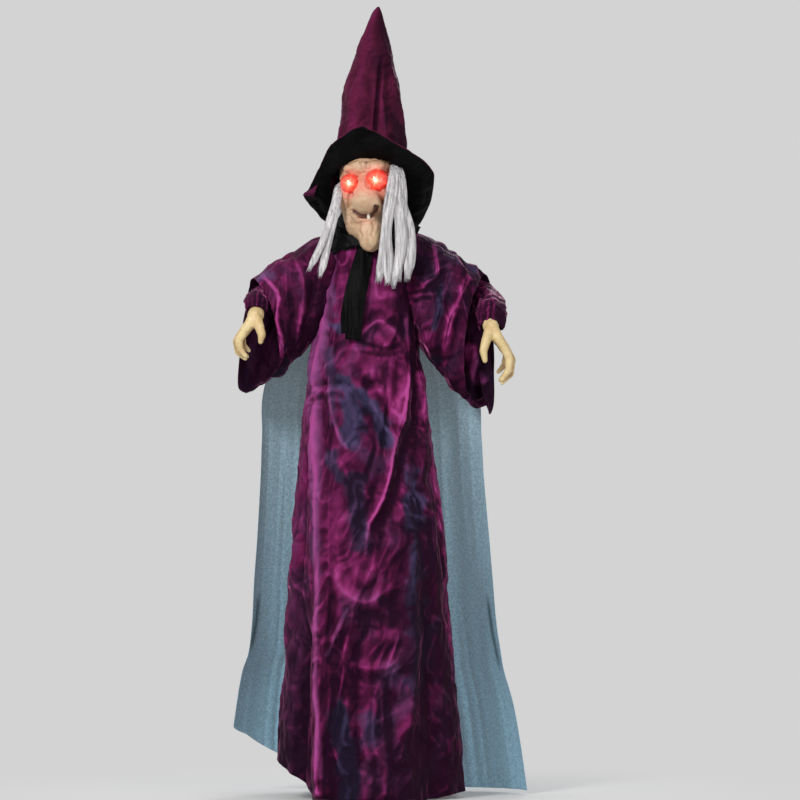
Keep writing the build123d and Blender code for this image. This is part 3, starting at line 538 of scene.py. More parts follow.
def glowing_lens(name, centre_mm, radius_mm):
    """A red dome lit from behind: white-hot in the middle, deep red at its rim, with a painted star of
    glare rays round the middle.
    """
    m = Nodes(name)
    at = m.add("ShaderNodeTexCoord", output="Object")
    centre = tuple(c * MM for c in centre_mm)
    offset = m.add("ShaderNodeVectorMath", {0: at, 1: centre}, operation="SUBTRACT")
    parts = m.tree.nodes.new("ShaderNodeSeparateXYZ")
    m.tree.links.new(offset, parts.inputs[0])
    x, z = parts.outputs[0], parts.outputs[2]
    away = m.math("SQRT", m.math("ADD", m.math("MULTIPLY", x, x), m.math("MULTIPLY", z, z)))
    share = m.math("DIVIDE", away, radius_mm * MM)
    angle = m.math("ARCTAN2", z, x)
    # painted glare: the rays of a starburst round the bright middle
    rays = m.math("ABSOLUTE", m.math("SINE", m.math("MULTIPLY", m.math("ADD", angle, 0.3), 4.0)))
    few = m.math("ABSOLUTE", m.math("SINE", m.math("ADD", m.math("MULTIPLY", angle, 2.0), 0.4)))
    spread = m.math("ADD", m.math("MULTIPLY", rays, 0.45), m.math("MULTIPLY", few, 0.35))
    shaped = m.math("MULTIPLY", share, m.math("ADD", spread, 0.62))
    glow = m.ramp(shaped, (
        (0.06, (1.0, 0.90, 0.78)), (0.18, (1.0, 0.38, 0.22)),
        (0.36, (0.80, 0.07, 0.035)), (0.85, (0.20, 0.008, 0.005))))
    colour = m.ramp(share, ((0.2, (0.8, 0.10, 0.06)), (0.9, (0.45, 0.01, 0.01))))
    return m.set(
        Base_Color=colour, Roughness=0.15, Emission_Color=glow, Emission_Strength=1.5, Coat_Weight=0.4)


def plain_stuff(name, colour, roughness, metallic=0.0, grain=180.0, variation=0.25, depth=0.0004):
    """Moulded plastic, rubber or metal with a fine texture."""
    m = Nodes(name)
    spots = m.noise(grain, 4, 0.6)
    low = tuple(c * (1 - variation) for c in colour)
    high = tuple(min(1.0, c * (1 + variation)) for c in colour)
    tone = m.ramp(m.noise(grain / 9, 3), ((0.3, low), (0.7, high)))
    shine = m.ramp(spots, ((0.3, max(0.05, roughness - 0.08)), (0.7, min(1.0, roughness + 0.08))))
    return m.set(Base_Color=tone, Metallic=metallic, Roughness=shine, Normal=m.bump(spots, 0.3, depth))


PLUM = dict(dark=(0.014, 0.003, 0.011), body=(0.052, 0.006, 0.028), bright=(0.165, 0.016, 0.085),
            peak=(0.36, 0.052, 0.22), cool=((0.008, 0.008, 0.018), (0.055, 0.06, 0.14)))
DRESS_CLOTH = shot_fabric("Dress_Fabric", **PLUM, cool_amount=0.2)
SLEEVE_CLOTH = shot_fabric("Sleeve_Fabric", **PLUM, cool_amount=0.3)
HAT_CLOTH = shot_fabric(
    "Hat_Fabric", dark=(0.018, 0.003, 0.009), body=(0.046, 0.006, 0.018), bright=(0.10, 0.010, 0.04),
    peak=(0.26, 0.022, 0.12), cool=((0.015, 0.006, 0.014), (0.06, 0.016, 0.05)), cool_amount=0.4,
    sheen=0.16)
BLACK_CLOTH = black_fabric("Black_Fabric", 60, 0.05)
CRUMPLED_BLACK = black_fabric("Crumpled_Black", 110, 0.12)
CAPE_MESH = sheer_mesh("Cape_Mesh")
HAIR = hair_fibre("Hair_Fibre")
FACE = painted_skin(
    "Mask_Vinyl", (0.44, 0.27, 0.165), (0.51, 0.37, 0.225), (0.13, 0.055, 0.035), (0.70, 0.24, 0.17))
HAND = painted_skin(
    "Hand_Vinyl", (0.50, 0.35, 0.16), (0.66, 0.53, 0.28), (0.16, 0.075, 0.025), (0.40, 0.20, 0.08))


# ---- Stage --------------------------------------------------------------------------------
GREY = 0.651  # the photograph's background


def make_stage():
    m = Nodes("Floor")
    away = m.add(
        "ShaderNodeVectorMath", {0: m.place(), 1: (0, 0, 0)}, output="Value", operation="DISTANCE")
    far = m.ramp(m.math("DIVIDE", away, 2.0), ((0.10, 0.15), (0.55, 1.0)), True)
    floor_tone = m.ramp(m.noise(3), ((0.3, (0.60, 0.60, 0.60)), (0.7, (0.62, 0.62, 0.62))))
    m.set(Base_Color=floor_tone, Roughness=0.9, Specular_IOR_Level=0.1)
    out = m.tree.nodes["Material Output"]
    glow = m.add("ShaderNodeEmission", {"Color": (GREY, GREY, GREY), "Strength": 1.0})
    mixed = m.add("ShaderNodeMixShader", {0: far, 1: m.shader.outputs[0], 2: glow})
    m.tree.links.new(mixed, out.inputs["Surface"])
    bm = bmesh.new()
    bmesh.ops.create_circle(bm, cap_ends=True, radius=60, segments=96)
    mesh = bpy.data.meshes.new("Floor")
    bm.to_mesh(mesh)
    bm.free()
    floor = bpy.data.objects.new("Floor", mesh)
    floor.data.materials.append(m.material)
    bpy.context.scene.collection.objects.link(floor)

    world = bpy.data.worlds.new("Studio")
    world.use_nodes = True
    world.node_tree.nodes["Background"].inputs[0].default_value = (GREY, GREY, GREY, 1)
    world.node_tree.nodes["Background"].inputs[1].default_value = 1.0
    bpy.context.scene.world = world
    bpy.context.scene.view_settings.view_transform = "Standard"

    def area_light(name, at, size, power):
        light = bpy.data.lights.new(name, "AREA")
        light.size = size
        light.energy = power
        lamp = bpy.data.objects.new(name, light)
        lamp.location = at
        aim = np.array((0, 0, 0.9)) - np.array(at)
        lamp.rotation_euler = (
            math.atan2(math.hypot(aim[0], aim[1]), -aim[2]), 0, math.atan2(-aim[0], aim[1]))
        bpy.context.scene.collection.objects.link(lamp)

    area_light("Key", (-1.9, -3.2, 3.0), 1.0, 120)
    area_light("Fill", (2.6, -3.0, 1.6), 1.6, 35)
    area_light("Rim", (0.6, 3.0, 2.6), 1.2, 40)

    camera = bpy.data.cameras.new("Camera")
    camera.lens = 266.7
    camera.sensor_width = 36
    eye = bpy.data.objects.new("Camera", camera)
    at, aim = np.array((0.061, -12.0, 0.85)), np.array((0.061, 0.0, 0.803))
    eye.location = at
    eye.rotation_euler = (math.pi / 2 - math.atan2(at[2] - aim[2], aim[1] - at[1]), 0, 0)
    bpy.context.scene.collection.objects.link(eye)
    bpy.context.scene.camera = eye


make_stage()


# ---- Dress --------------------------------------------------------------------------------
BODY = (
    # z, left edge, right edge, front, back
    (0, -187, 183, 172, 150),
    (187, -178, 173, 160, 142),
    (352, -163, 157, 148, 131),
    (480, -151, 149, 138, 122),
    (560, -146, 141, 132, 116),
    (640, -138, 130, 124, 110),
    (720, -131, 120, 116, 103),
    (804, -125, 113, 108, 96),
    (905, -116, 101, 96, 86),
    (1035, -98, 86, 80, 70),
    (1090, -92, 84, 68, 64),
    (1125, -78, 70, 56, 54),
    (1142, -58, 54, 44, 44),
)
DRESS_TOP = 1136
# Long folds on the front as (x, z) points, then how far they stand out and how wide they are.
FRONT_FOLDS = (
    (((-82, 1100), (-88, 1010), (-104, 890), (-111, 790), (-109, 640), (-108, 480), (-106, 300),
      (-94, 120), (-92, 20)), 12, 14),
    (((-44, 1060), (-62, 960), (-80, 860), (-72, 760), (-46, 705)), 6, 12),
    (((72, 1070), (74, 945), (75, 868), (69, 808), (57, 748), (47, 708), (38, 648), (20, 590),
      (-4, 548), (-8, 470)), 12, 10),
    (((96, 960), (106, 800), (112, 660), (126, 480), (142, 300), (154, 120), (158, 20)), 7, 10),
    (((-44, 844), (-4, 808), (42, 728), (47, 700)), 6, 10),
    (((-24, 925), (16, 960), (46, 940), (70, 905)), 4, 8),
    (((-80, 550), (-74, 476), (-56, 426), (-10, 398), (30, 420), (66, 452)), 5, 13),
    (((-44, 386), (-60, 350), (-84, 292), (-79, 187), (-96, 105), (-92, 20)), 7, 10),
    (((-60, 300), (-20, 270), (40, 272), (66, 310)), 4, 11),
    (((100, 560), (84, 400), (92, 240), (60, 90)), 6, 15),
    (((22, 240), (27, 130), (30, 20)), 3, 8),
    (((-146, 420), (-150, 250), (-156, 60)), 6, 14),
)
# Painted highlights and painted shade on the front, and where the blue thread shows: a line as (x, z)
# # points, half its width, the shine (a painted highlight above nought, painted shade below) and the blue.
DRESS_MARKS = (
    (((70, 980), (74, 924), (75, 868), (69, 808), (57, 748), (48, 708), (38, 648), (26, 600),
      (2, 559), (-8, 497)), 3, 0.17, 0),
    (((85, 900), (88, 828), (78, 768), (69, 708), (57, 648), (44, 600), (22, 540)), 10, -0.20, 0),
    (((107, 850), (113, 788), (120, 708), (130, 628), (145, 548), (152, 477), (162, 360),
      (168, 240)), 11, 0.44, 0),
    (((-46, 836), (-32, 770), (-28, 722)), 22, -0.06, 0.9),
    (((-18, 815), (14, 772), (36, 722)), 15, -0.06, 0.9),
    (((30, 940), (42, 880), (44, 830), (50, 780)), 24, 0.18, 0),
    (((-10, 900), (16, 850)), 20, 0.08, 0),
    (((20, 1030), (34, 985)), 28, 0.22, 0),
    (((-20, 922), (20, 908), (62, 914)), 5, -0.20, 0),
    (((-12, 898), (30, 892), (62, 898)), 4, -0.14, 0),
    (((-20, 936), (17, 962), (46, 944), (66, 914)), 3, 0.12, 0),
    (((-42, 1106), (-46, 1084), (-58, 1074), (-64, 1084)), 3, 0.24, 0),
    (((-78, 1030), (-76, 1000), (-70, 975)), 10, 0.08, 0.5),
    # a painted blue highlight beside the tie
    (((-78, 956), (-60, 948), (-40, 950)), 10, 0.16, 1.0),
    (((70, 1050), (68, 1000), (73, 975)), 6, -0.24, 0),
    (((-80, 900), (-74, 830), (-72, 760)), 11, 0.0, 0.55),
    (((-84, 850), (-66, 744), (-44, 706)), 3, 0.18, 0.2),
    (((-90, 770), (-88, 710)), 9, -0.12, 0),
    (((-78, 690), (-62, 650)), 14, -0.10, 0.7),
    (((-10, 698), (22, 672)), 22, 0.06, 0.35),
    (((-62, 622), (-56, 570)), 16, 0.06, 0),
    (((-30, 640), (-24, 580), (-18, 515)), 18, -0.16, 0.6),
    (((86, 660), (86, 580), (92, 500), (84, 400)), 16, 0.02, 0.8),
    (((110, 560), (124, 480)), 14, -0.12, 0.2),
    (((-80, 550), (-76, 500), (-66, 460)), 13, 0.10, 0),
    (((-58, 436), (-30, 414), (-6, 404), (20, 424), (56, 446)), 20, 0.16, 0),
    (((-60, 352), (0, 366), (44, 360)), 15, -0.18, 0),
    (((-52, 298), (-10, 284), (30, 288), (56, 302)), 14, 0.13, 0),
    (((22, 338), (50, 330)), 16, 0.15, 0),
    (((96, 380), (104, 300), (100, 225)), 24, -0.02, 0.6),
    (((-44, 386), (-60, 350), (-84, 292)), 3, 0.16, 0.3),
    (((30, 560), (40, 500), (20, 470)), 20, 0.05, 0),
    (((-84, 270), (-79, 187), (-96, 105), (-93, 10)), 4, 0.14, 0),
    (((-62, 180), (-50, 100), (-46, 20)), 18, -0.06, 0.8),
    (((-10, 170), (2, 120)), 20, 0.0, 0.5),
    (((50, 250), (70, 210), (62, 180)), 22, 0.10, 0.3),
    (((-4, 126), (18, 92), (36, 68)), 3, 0.10, 0),
    (((147, 110), (110, 80), (56, 55)), 2, 0.10, 0),
    (((14, 235), (20, 180), (24, 130)), 20, -0.12, 0),
    (((-140, 440), (-152, 240), (-158, 60)), 26, -0.10, 0.2),
    (((-140, 40), (0, 30), (150, 40)), 90, -0.08, 0),
)
# A painted highlight along the long fold on the figure's right, with blue at its sides.
BRIGHT_BAND = ((-84, 1090), (-88, 1028), (-97, 950), (-108, 868), (-111, 788), (-109, 640),
               (-108, 480), (-107, 300), (-100, 180), (-90, 50))


def marks(flat, table):
    """The painted highlights and shade, and the blue thread, of soft-edged marks on the front, with ragged
    outlines.
    """
    shine, blue = np.zeros(len(flat)), np.zeros(len(flat))
    ragged = layered_noise(flat / 24, 4, 211)
    facing_front = step(24, -16, flat[:, 1])
    for line, half, bright, cool in table:
        gap, _ = polyline_distance(flat[:, [0, 2]], curve_through(line, 13))
        inside = bump_at(gap + 0.7 * half * ragged, half, 4) * facing_front
        shine += bright * inside
        blue = np.maximum(blue, cool * inside)
    return shine, blue


def dress_points(rows, columns):
    """The dress as a grid of points, hem first, with its folds."""
    share = np.linspace(0, 1, rows)[:, None] * np.ones((1, columns))
    angle = np.ones((rows, 1)) * turns(columns)
    # the hem's height above the floor, from the figure's right side to its left
    lift = np.interp(np.cos(angle), (-1, -0.9, -0.76, -0.6, -0.5, 0.8, 1), (80, 62, 42, 18, 4, 4, 14))
    z = lift + (DRESS_TOP - lift) * share
    left, right, front, back = table_at(BODY, z)
    across, depth = np.cos(angle), np.sin(angle)
    fuller = 2 / 2.3  # a little squarer than an oval
    round_x = np.sign(across) * np.abs(across) ** fuller
    round_y = np.sign(depth) * np.abs(depth) ** fuller
    x = (left + right) / 2 + (right - left) / 2 * round_x
    y = np.where(depth < 0, front, back) * round_y
    points = np.stack([x, y, z], axis=2)
    out = grid_normals(points, True)
    flat = points.reshape(-1, 3)
    fall = 1 - flat[:, 2] / DRESS_TOP

    around = np.stack([np.cos(angle) * 1.7, np.sin(angle) * 1.7, z / 900], axis=2).reshape(-1, 3)
    move = crumple(around, 2, 5) * (6 + 28 * fall)
    sway = np.stack([flat[:, 0] / 110, flat[:, 1] / 110, flat[:, 2] / 220], axis=1)
    move += layered_noise(sway, 2, 21) * 6
    # the back stays inside the cape
    move = np.where(flat[:, 1] > 40, np.minimum(move, 8), move)
    is_front = step(32, -12, flat[:, 1])
    ragged = layered_noise(flat / (60, 60, 90), 2, 35)
    for line, amount, width in FRONT_FOLDS:
        gap, along = polyline_distance(flat[:, [0, 2]], curve_through(line, 17))
        reaches_hem = line[-1][1] <= 100
        ends = np.clip((along if reaches_hem else np.minimum(along, 1 - along)) * 4, 0, 1)
        gap = np.abs(gap + 0.35 * width * ragged)
        bell = bump_at(gap, width, 1.5) * (1 + 0.4 * ragged) - 0.4 * bump_at(gap - 2 * width, width)
        move += is_front * amount * ends * bell
    bent = layered_noise(flat / 130, 2, 3)[:, None]
    move += crumple(flat / (70, 70, 120) + bent * 0.5, 3, 31) * 9
    move += crumple(flat / (26, 26, 34) + bent, 2, 47) * 2.6
    # stays shallow where the sleeves join
    move *= 1 - 0.5 * step(1000, DRESS_TOP, flat[:, 2])
    glow, cool = marks(flat, DRESS_MARKS)
    # painted shine a little higher above the knees and lower towards the hem
    glow += 0.05 * step(380, 620, flat[:, 2]) - 0.035 * step(480, 300, flat[:, 2])
    # painted highlight along the bright band, strongest in its core; blue at its sides
    gap, along = polyline_distance(flat[:, [0, 2]], BRIGHT_BAND)
    band = bump_at(gap, 17 - 12 * along, 4) * is_front
    core = bump_at(gap + 3 * ragged, 7 - 3 * along)
    glow = glow * (1 - band) + band * (0.27 - 0.16 * along + 0.17 * core) * (1 + 0.5 * ragged)
    cool = cool * (1 - band) + (0.46 - 0.30 * core) * band
    shape = (rows, columns)
    return points + out * move.reshape(*shape, 1), glow.reshape(shape), cool.reshape(shape)


def make_dress():
    points, glow, cool = dress_points(300, 420)
    points[..., 2] = np.maximum(points[..., 2], 3)
    dress = cloth_grid("Dress_Cloth", points, DRESS_CLOTH, True, glow=glow, cool=cool)
    fit(dress, "root", "dress_fabric", "dress")
    return dress


# ---- Sleeves ------------------------------------------------------------------------------
# Rings from the shoulder to the mouth, as (outward, y, z) from the top round the front, bottom and back.
BELLS = {
    "right": (
        ((58, 8, 1136), (62, -30, 1120), (70, -50, 1070), (80, -46, 1005), (92, -8, 962),
         (88, 40, 975), (74, 56, 1050), (62, 40, 1116)),
        ((105, 8, 1131), (102, -36, 1110), (100, -58, 1050), (104, -55, 980), (114, -10, 925),
         (114, 46, 950), (106, 62, 1040), (104, 44, 1108)),
        ((150, 10, 1108), (146, -38, 1084), (140, -62, 1020), (140, -60, 940), (152, -8, 882),
         (160, 50, 910), (156, 64, 1000), (152, 46, 1078)),
        ((196, 6, 1078), (186, -44, 1054), (172, -68, 998), (172, -68, 915), (188, -22, 852),
         (214, 36, 866), (214, 54, 960), (206, 38, 1045)),
        ((240, 14, 1052), (210, -54, 1016), (190, -72, 962), (188, -70, 898), (214, -46, 850),
         (264, 4, 823), (264, 36, 900), (250, 52, 1004)),
    ),
    "left": (
        ((56, 8, 1138), (60, -30, 1122), (68, -50, 1070), (78, -46, 1002), (88, -8, 955),
         (84, 40, 968), (70, 56, 1050), (60, 40, 1118)),
        ((104, 8, 1138), (100, -38, 1114), (96, -60, 1050), (98, -57, 970), (108, -12, 902),
         (110, 44, 930), (104, 62, 1035), (102, 44, 1112)),
        ((150, 10, 1115), (146, -40, 1086), (134, -64, 1015), (126, -62, 932), (138, -16, 862),
         (156, 44, 885), (156, 62, 990), (152, 44, 1082)),
        ((196, 6, 1084), (182, -46, 1052), (170, -68, 985), (160, -70, 898), (176, -34, 826),
         (206, 30, 826), (212, 54, 940), (204, 38, 1042)),
        ((236, 16, 1060), (210, -56, 1014), (196, -76, 952), (188, -76, 882), (205, -50, 808),
         (246, 0, 780), (252, 38, 870), (250, 54, 992)),
    ),
}
SHOULDERS = {"right": -1, "left": 1}
# The sleeves' main folds on the front as (x, z), how far they stand out and how wide they are.
SLEEVE_FOLDS = {
    "right": (
        (((-216, 1054), (-184, 1016), (-186, 968), (-179, 924), (-190, 888), (-206, 866)), 9, 9),
        (((-151, 1088), (-130, 1028), (-143, 948), (-151, 888)), 8, 10),
        (((-170, 1085), (-166, 1000), (-160, 930)), 5, 11),
        (((-96, 1060), (-112, 980), (-120, 930)), 6, 12),
    ),
    "left": (
        (((198, 1052), (182, 1010), (161, 956), (147, 872)), 9, 10),
        (((129, 1116), (135, 1056), (112, 1036), (98, 1000)), 7, 9),
        (((170, 1090), (150, 1010), (132, 930), (140, 880)), 6, 12),
        (((100, 1040), (106, 960), (120, 900)), 6, 12),
    ),
}

# Painted highlights and painted shade on the sleeves' fronts, and where the blue thread shows: a line as
# (x, z) points, half its width, the shine and the blue.
SLEEVE_MARKS = {
    "right": (
        (((-216, 1054), (-184, 1016), (-186, 968), (-179, 924), (-190, 888), (-205, 868)), 4, 0.28, 0),
        (((-151, 1088), (-130, 1028), (-143, 948), (-151, 888)), 6, 0.14, 0),
        (((-166, 1010), (-164, 940), (-168, 900)), 9, -0.16, 0),
        (((-122, 1030), (-112, 980), (-126, 920)), 14, -0.20, 0),
        (((-60, 1128), (-104, 1112), (-150, 1086)), 13, -0.20, 0),
        (((-236, 1046), (-215, 1056), (-195, 1052)), 9, 0.06, 0.5),
        (((-215, 872), (-190, 862), (-170, 880)), 8, 0.0, 0.7),
    ),
    "left": (
        (((198, 1052), (182, 1010), (161, 956), (147, 872)), 8, 0.22, 0),
        (((129, 1116), (135, 1056), (112, 1036)), 3, 0.28, 0),
        (((160, 1100), (190, 1080), (215, 1062)), 15, -0.02, 0.8),
        (((142, 1030), (140, 980), (136, 950)), 8, -0.10, 0.8),
        (((96, 1076), (110, 1056)), 16, -0.14, 0.3),
        (((100, 900), (130, 884)), 13, -0.05, 0.9),
        (((84, 1000), (94, 962)), 8, 0.14, 0),
        (((170, 860), (212, 822)), 12, -0.02, 0),
    ),
}


def sleeve_points(name, rows, columns):
    side = SHOULDERS[name]
    rings = [[(side * out, y, z) for out, y, z in ring] for ring in BELLS[name]]
    points = surface_through(rings, rows, columns)
    out = grid_normals(points, True) * side
    flat = points.reshape(-1, 3)
    along = (np.linspace(0, 1, rows)[:, None] * np.ones((1, columns))).ravel()
    seed = 61 if side < 0 else 83
    # folds that fall from the shoulder line to the hem
    fall = np.stack([flat[:, 0] / 46, flat[:, 1] / 80, flat[:, 2] / 330], axis=1)
    fall[:, 0] += layered_noise(flat / 150, 2, seed) * 0.5 + side * flat[:, 2] / 300
    move = crumple(fall, 2, seed) * (4 + 26 * along)
    bent = layered_noise(flat / 110, 2, seed + 3)[:, None]
    move += crumple(flat / (50, 50, 80) + bent * 0.6, 3, seed + 5) * 7
    move += crumple(flat / (20, 20, 27) + bent, 2, seed + 9) * 2.2
    # what faces up lies smooth on the arm
    move *= 1 - 0.7 * np.clip(out.reshape(-1, 3)[:, 2], 0, 1)
    ragged = layered_noise(flat / (40, 40, 60), 2, 35)
    glow, cool = marks(flat, SLEEVE_MARKS[name])
    # painted shade: the sleeves a little darker than the dress of the same cloth
    glow -= 0.04
    for line, amount, width in SLEEVE_FOLDS[name]:
        gap, at = polyline_distance(flat[:, [0, 2]], curve_through(line, 17))
        gap = np.abs(gap + 0.35 * width * ragged)
        ends = np.clip(np.minimum(at, 1 - at) * 4, 0, 1) * step(20, -20, flat[:, 1])
        bell = bump_at(gap, width, 1.5)
        move += amount * ends * bell
        # a painted highlight along each fold
        glow += 0.08 * ends * bell
    if side > 0:
        # the light falls into the wider mouth of the left sleeve
        gap, _ = polyline_distance(flat[:, [0, 2]], ((204, 905), (214, 870), (224, 840)))
        glow += 0.70 * bump_at(gap + 6 * ragged, 17, 3) * step(-5, 15, flat[:, 1])
    shape = (rows, columns)
    return points + out * move.reshape(*shape, 1), glow.reshape(shape), cool.reshape(shape)


def make_sleeve(name):
    side = SHOULDERS[name]
    points, glow, cool = sleeve_points(name, 150, 240)
    sleeve = cloth_grid(
        f"{name.title()}_Bell_Sleeve", points, SLEEVE_CLOTH, True, side, glow=glow, cool=cool)
    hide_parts(f"{name}_bell_sleeve")
    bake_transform(sleeve)
    return sleeve


ARM_PATHS = {
    # shoulder end, elbow and wrist of each inner sleeve
    "right": ((-170, 24, 1030), (-208, 20, 1016), (-224, -18, 1005), (-228, -62, 1000),
              (-229, -90, 994), (-229, -99, 981)),
    "left": ((182, 24, 1030), (226, 20, 1010), (243, -18, 994), (246, -62, 982), (245, -94, 966),
             (243, -104, 947)),
}


def make_inner_sleeve(name):
    rows, columns = 74, 72
    path = curve_through(ARM_PATHS[name], rows)
    share = np.linspace(0, 1, rows)
    full = 21 if name == "right" else 27  # the left sleeve is the wider one
    swell = 0.16 * np.sin(np.clip(share * 1.15, 0, 1) * math.pi)
    radii = full * (1 + swell - 0.14 * step(0.93, 1.0, share))
    points = tube_points(path, radii, columns, 0.94)
    out = points - path[:, None, :]
    out /= np.linalg.norm(out, axis=2, keepdims=True)
    flat = points.reshape(-1, 3)
    turn, at = np.meshgrid(turns(columns), share)
    lengthwise = np.stack([np.cos(turn) * 1.8, np.sin(turn) * 1.8, at * 2.2], axis=2).reshape(-1, 3)
    move = crumple(lengthwise, 3, 101) * 6 + crumple(flat / (26, 19, 22), 2, 107) * 2.6
    points = points + out * move.reshape(*points.shape[:2], 1)
    # painted shade: the inner sleeves darker than the bells of the same cloth, more on the right
    shine = -0.20 if name == "right" else -0.12
    sleeve = cloth_grid(f"{name.title()}_Inner_Sleeve", points, SLEEVE_CLOTH, True, glow=shine)
    fit(sleeve, f"{name}_arm", "sleeve_fabric", f"{name}_inner_sleeve")
    return sleeve


# ---- Hands --------------------------------------------------------------------------------
# The wrist, the scale of what hangs down from it and the scale of what reaches outward.
WRISTS = {"right": ((-228, -98, 978), 0.71, 0.84), "left": ((242, -98, 960), 0.95, 0.95)}
FINGERS = (
    # y of the finger, then (outward, down, radius) from its knuckle to its tip
    (-19, ((16, 34, 9.5), (27, 52, 8.6), (40, 76, 7.6), (38, 102, 6.6), (24, 122, 4.2))),
    (-6, ((16, 34, 9.8), (30, 54, 9.0), (45, 80, 7.8), (42, 109, 6.8), (25, 129, 4.3))),
    (8, ((14, 34, 9.2), (27, 52, 8.6), (41, 77, 7.4), (38, 104, 6.4), (21, 123, 4.1))),
    (20, ((11, 32, 8.4), (22, 48, 7.8), (34, 68, 6.6), (31, 90, 5.8), (17, 106, 3.8))),
)
THUMB = ((-2, -16, 20, 11.5), (-10, -27, 42, 9.6), (-15, -31, 62, 8.2), (-12, -32, 82, 5.2))


def make_hand(name):
    side = SHOULDERS[name]
    wrist, scale, reach = WRISTS[name]
    wrist = np.array(wrist, float)

    def at(out, y, down):
        return wrist + (side * out * reach, y - 20, -down * scale)

    balls = [
        (wrist + (0, 26, 4), 15.5, wrist + (0, -6, -2), 16.5),
        (wrist + (0, -6, -2), 16.5, at(1, 0, 8), 16.5),
    ]
    for y, joints in FINGERS:
        balls.append((at(3, y * 0.55, 8), 12, at(joints[0][0], y, joints[0][1]), joints[0][2] + 1.2))
        for (o1, d1, r1), (o2, d2, r2) in zip(joints, joints[1:]):
            balls.append((at(o1, y, d1), r1 * 1.12, at(o2, y, d2), r2 * 1.12))
    for (o1, y1, d1, r1), (o2, y2, d2, r2) in zip(THUMB, THUMB[1:]):
        balls.append((at(o1, y1, d1), r1, at(o2, y2, d2), r2))
    points, faces = blob_mesh(f"{name}_hand_skin", balls, 7)
    normal = vertex_normals(points, faces)
    tone = np.full(len(points), 0.55)
    move = np.zeros(len(points))
    # knuckle creases and nails
    for y, joints in FINGERS:
        for o, d, r in joints[1:-1]:
            away = np.linalg.norm(points - at(o, y, d), axis=1)
            ring = np.abs(((points - at(o, y, d)) @ np.array((0.35 * side, 0, -1.0))) / 1.06)
            crease = bump_at(ring, 1.4) * (1 - step(r * 0.9, r * 1.7, away))
            move -= 0.5 * crease
            tone -= 0.12 * crease
        tone += 0.30 * near(points, at(joints[-1][0] + 1, y, joints[-1][1]), 5.5)
    # painted shade in the gaps between the fingers
    below = step(20 * scale, 60 * scale, wrist[2] - points[:, 2])
    for middle in (-12.5, 1.0, 14.0):
        tone -= 0.30 * bump_at(points[:, 1] - wrist[1] + 20 - middle, 1.6) * below
    move += 0.5 * layered_noise(points / 9, 3, 17)
    # random tone, and a painted highlight on what faces the front
    tone += 0.14 * layered_noise(points / 14, 3, 19) + 0.10 * np.clip(-normal[:, 1], 0, 1)
    points = points + normal * move[:, None]
    hand = new_object(f"{name.title()}_Hand_Skin", points, faces, HAND)
    set_attribute(hand, "tone", np.clip(tone, 0, 1))
    set_attribute(hand, "blush_and_glow", np.clip(0.25 * layered_noise(points / 22, 2, 23), 0, 0.4))
    fit(hand, f"{name}_hand", "skin", f"{name}_hand")


# ---- Head ---------------------------------------------------------------------------------
HEAD_CENTRE = np.array((0, -12, 1236.0))
HEAD_YAW = math.radians(-8)
HEAD_ROLL = math.radians(-4)


def head_matrix():
    cy, sy = math.cos(HEAD_YAW), math.sin(HEAD_YAW)
    cr, sr = math.cos(HEAD_ROLL), math.sin(HEAD_ROLL)
    yaw = np.array(((cy, -sy, 0), (sy, cy, 0), (0, 0, 1)))
    roll = np.array(((cr, 0, sr), (0, 1, 0), (-sr, 0, cr)))
    return roll @ yaw


TURN = head_matrix()


def on_head(points):
    """Points of the head's own frame, in the row frame."""
    return np.asarray(points, float) @ TURN.T + HEAD_CENTRE


def both(x, y, z, radii):
    return [((sign * x, y, z), radii) for sign in (-1, 1)]


EYES = ((-29, -74, 5, 19.0), (25.5, -74, 7.5, 21.5))  # x, y, z, radius in the head's frame
EYE_INSET = 3  # how far behind its y a dome's centre sits
EYE_DEPTH = 0.95  # a dome's depth as a share of its radius


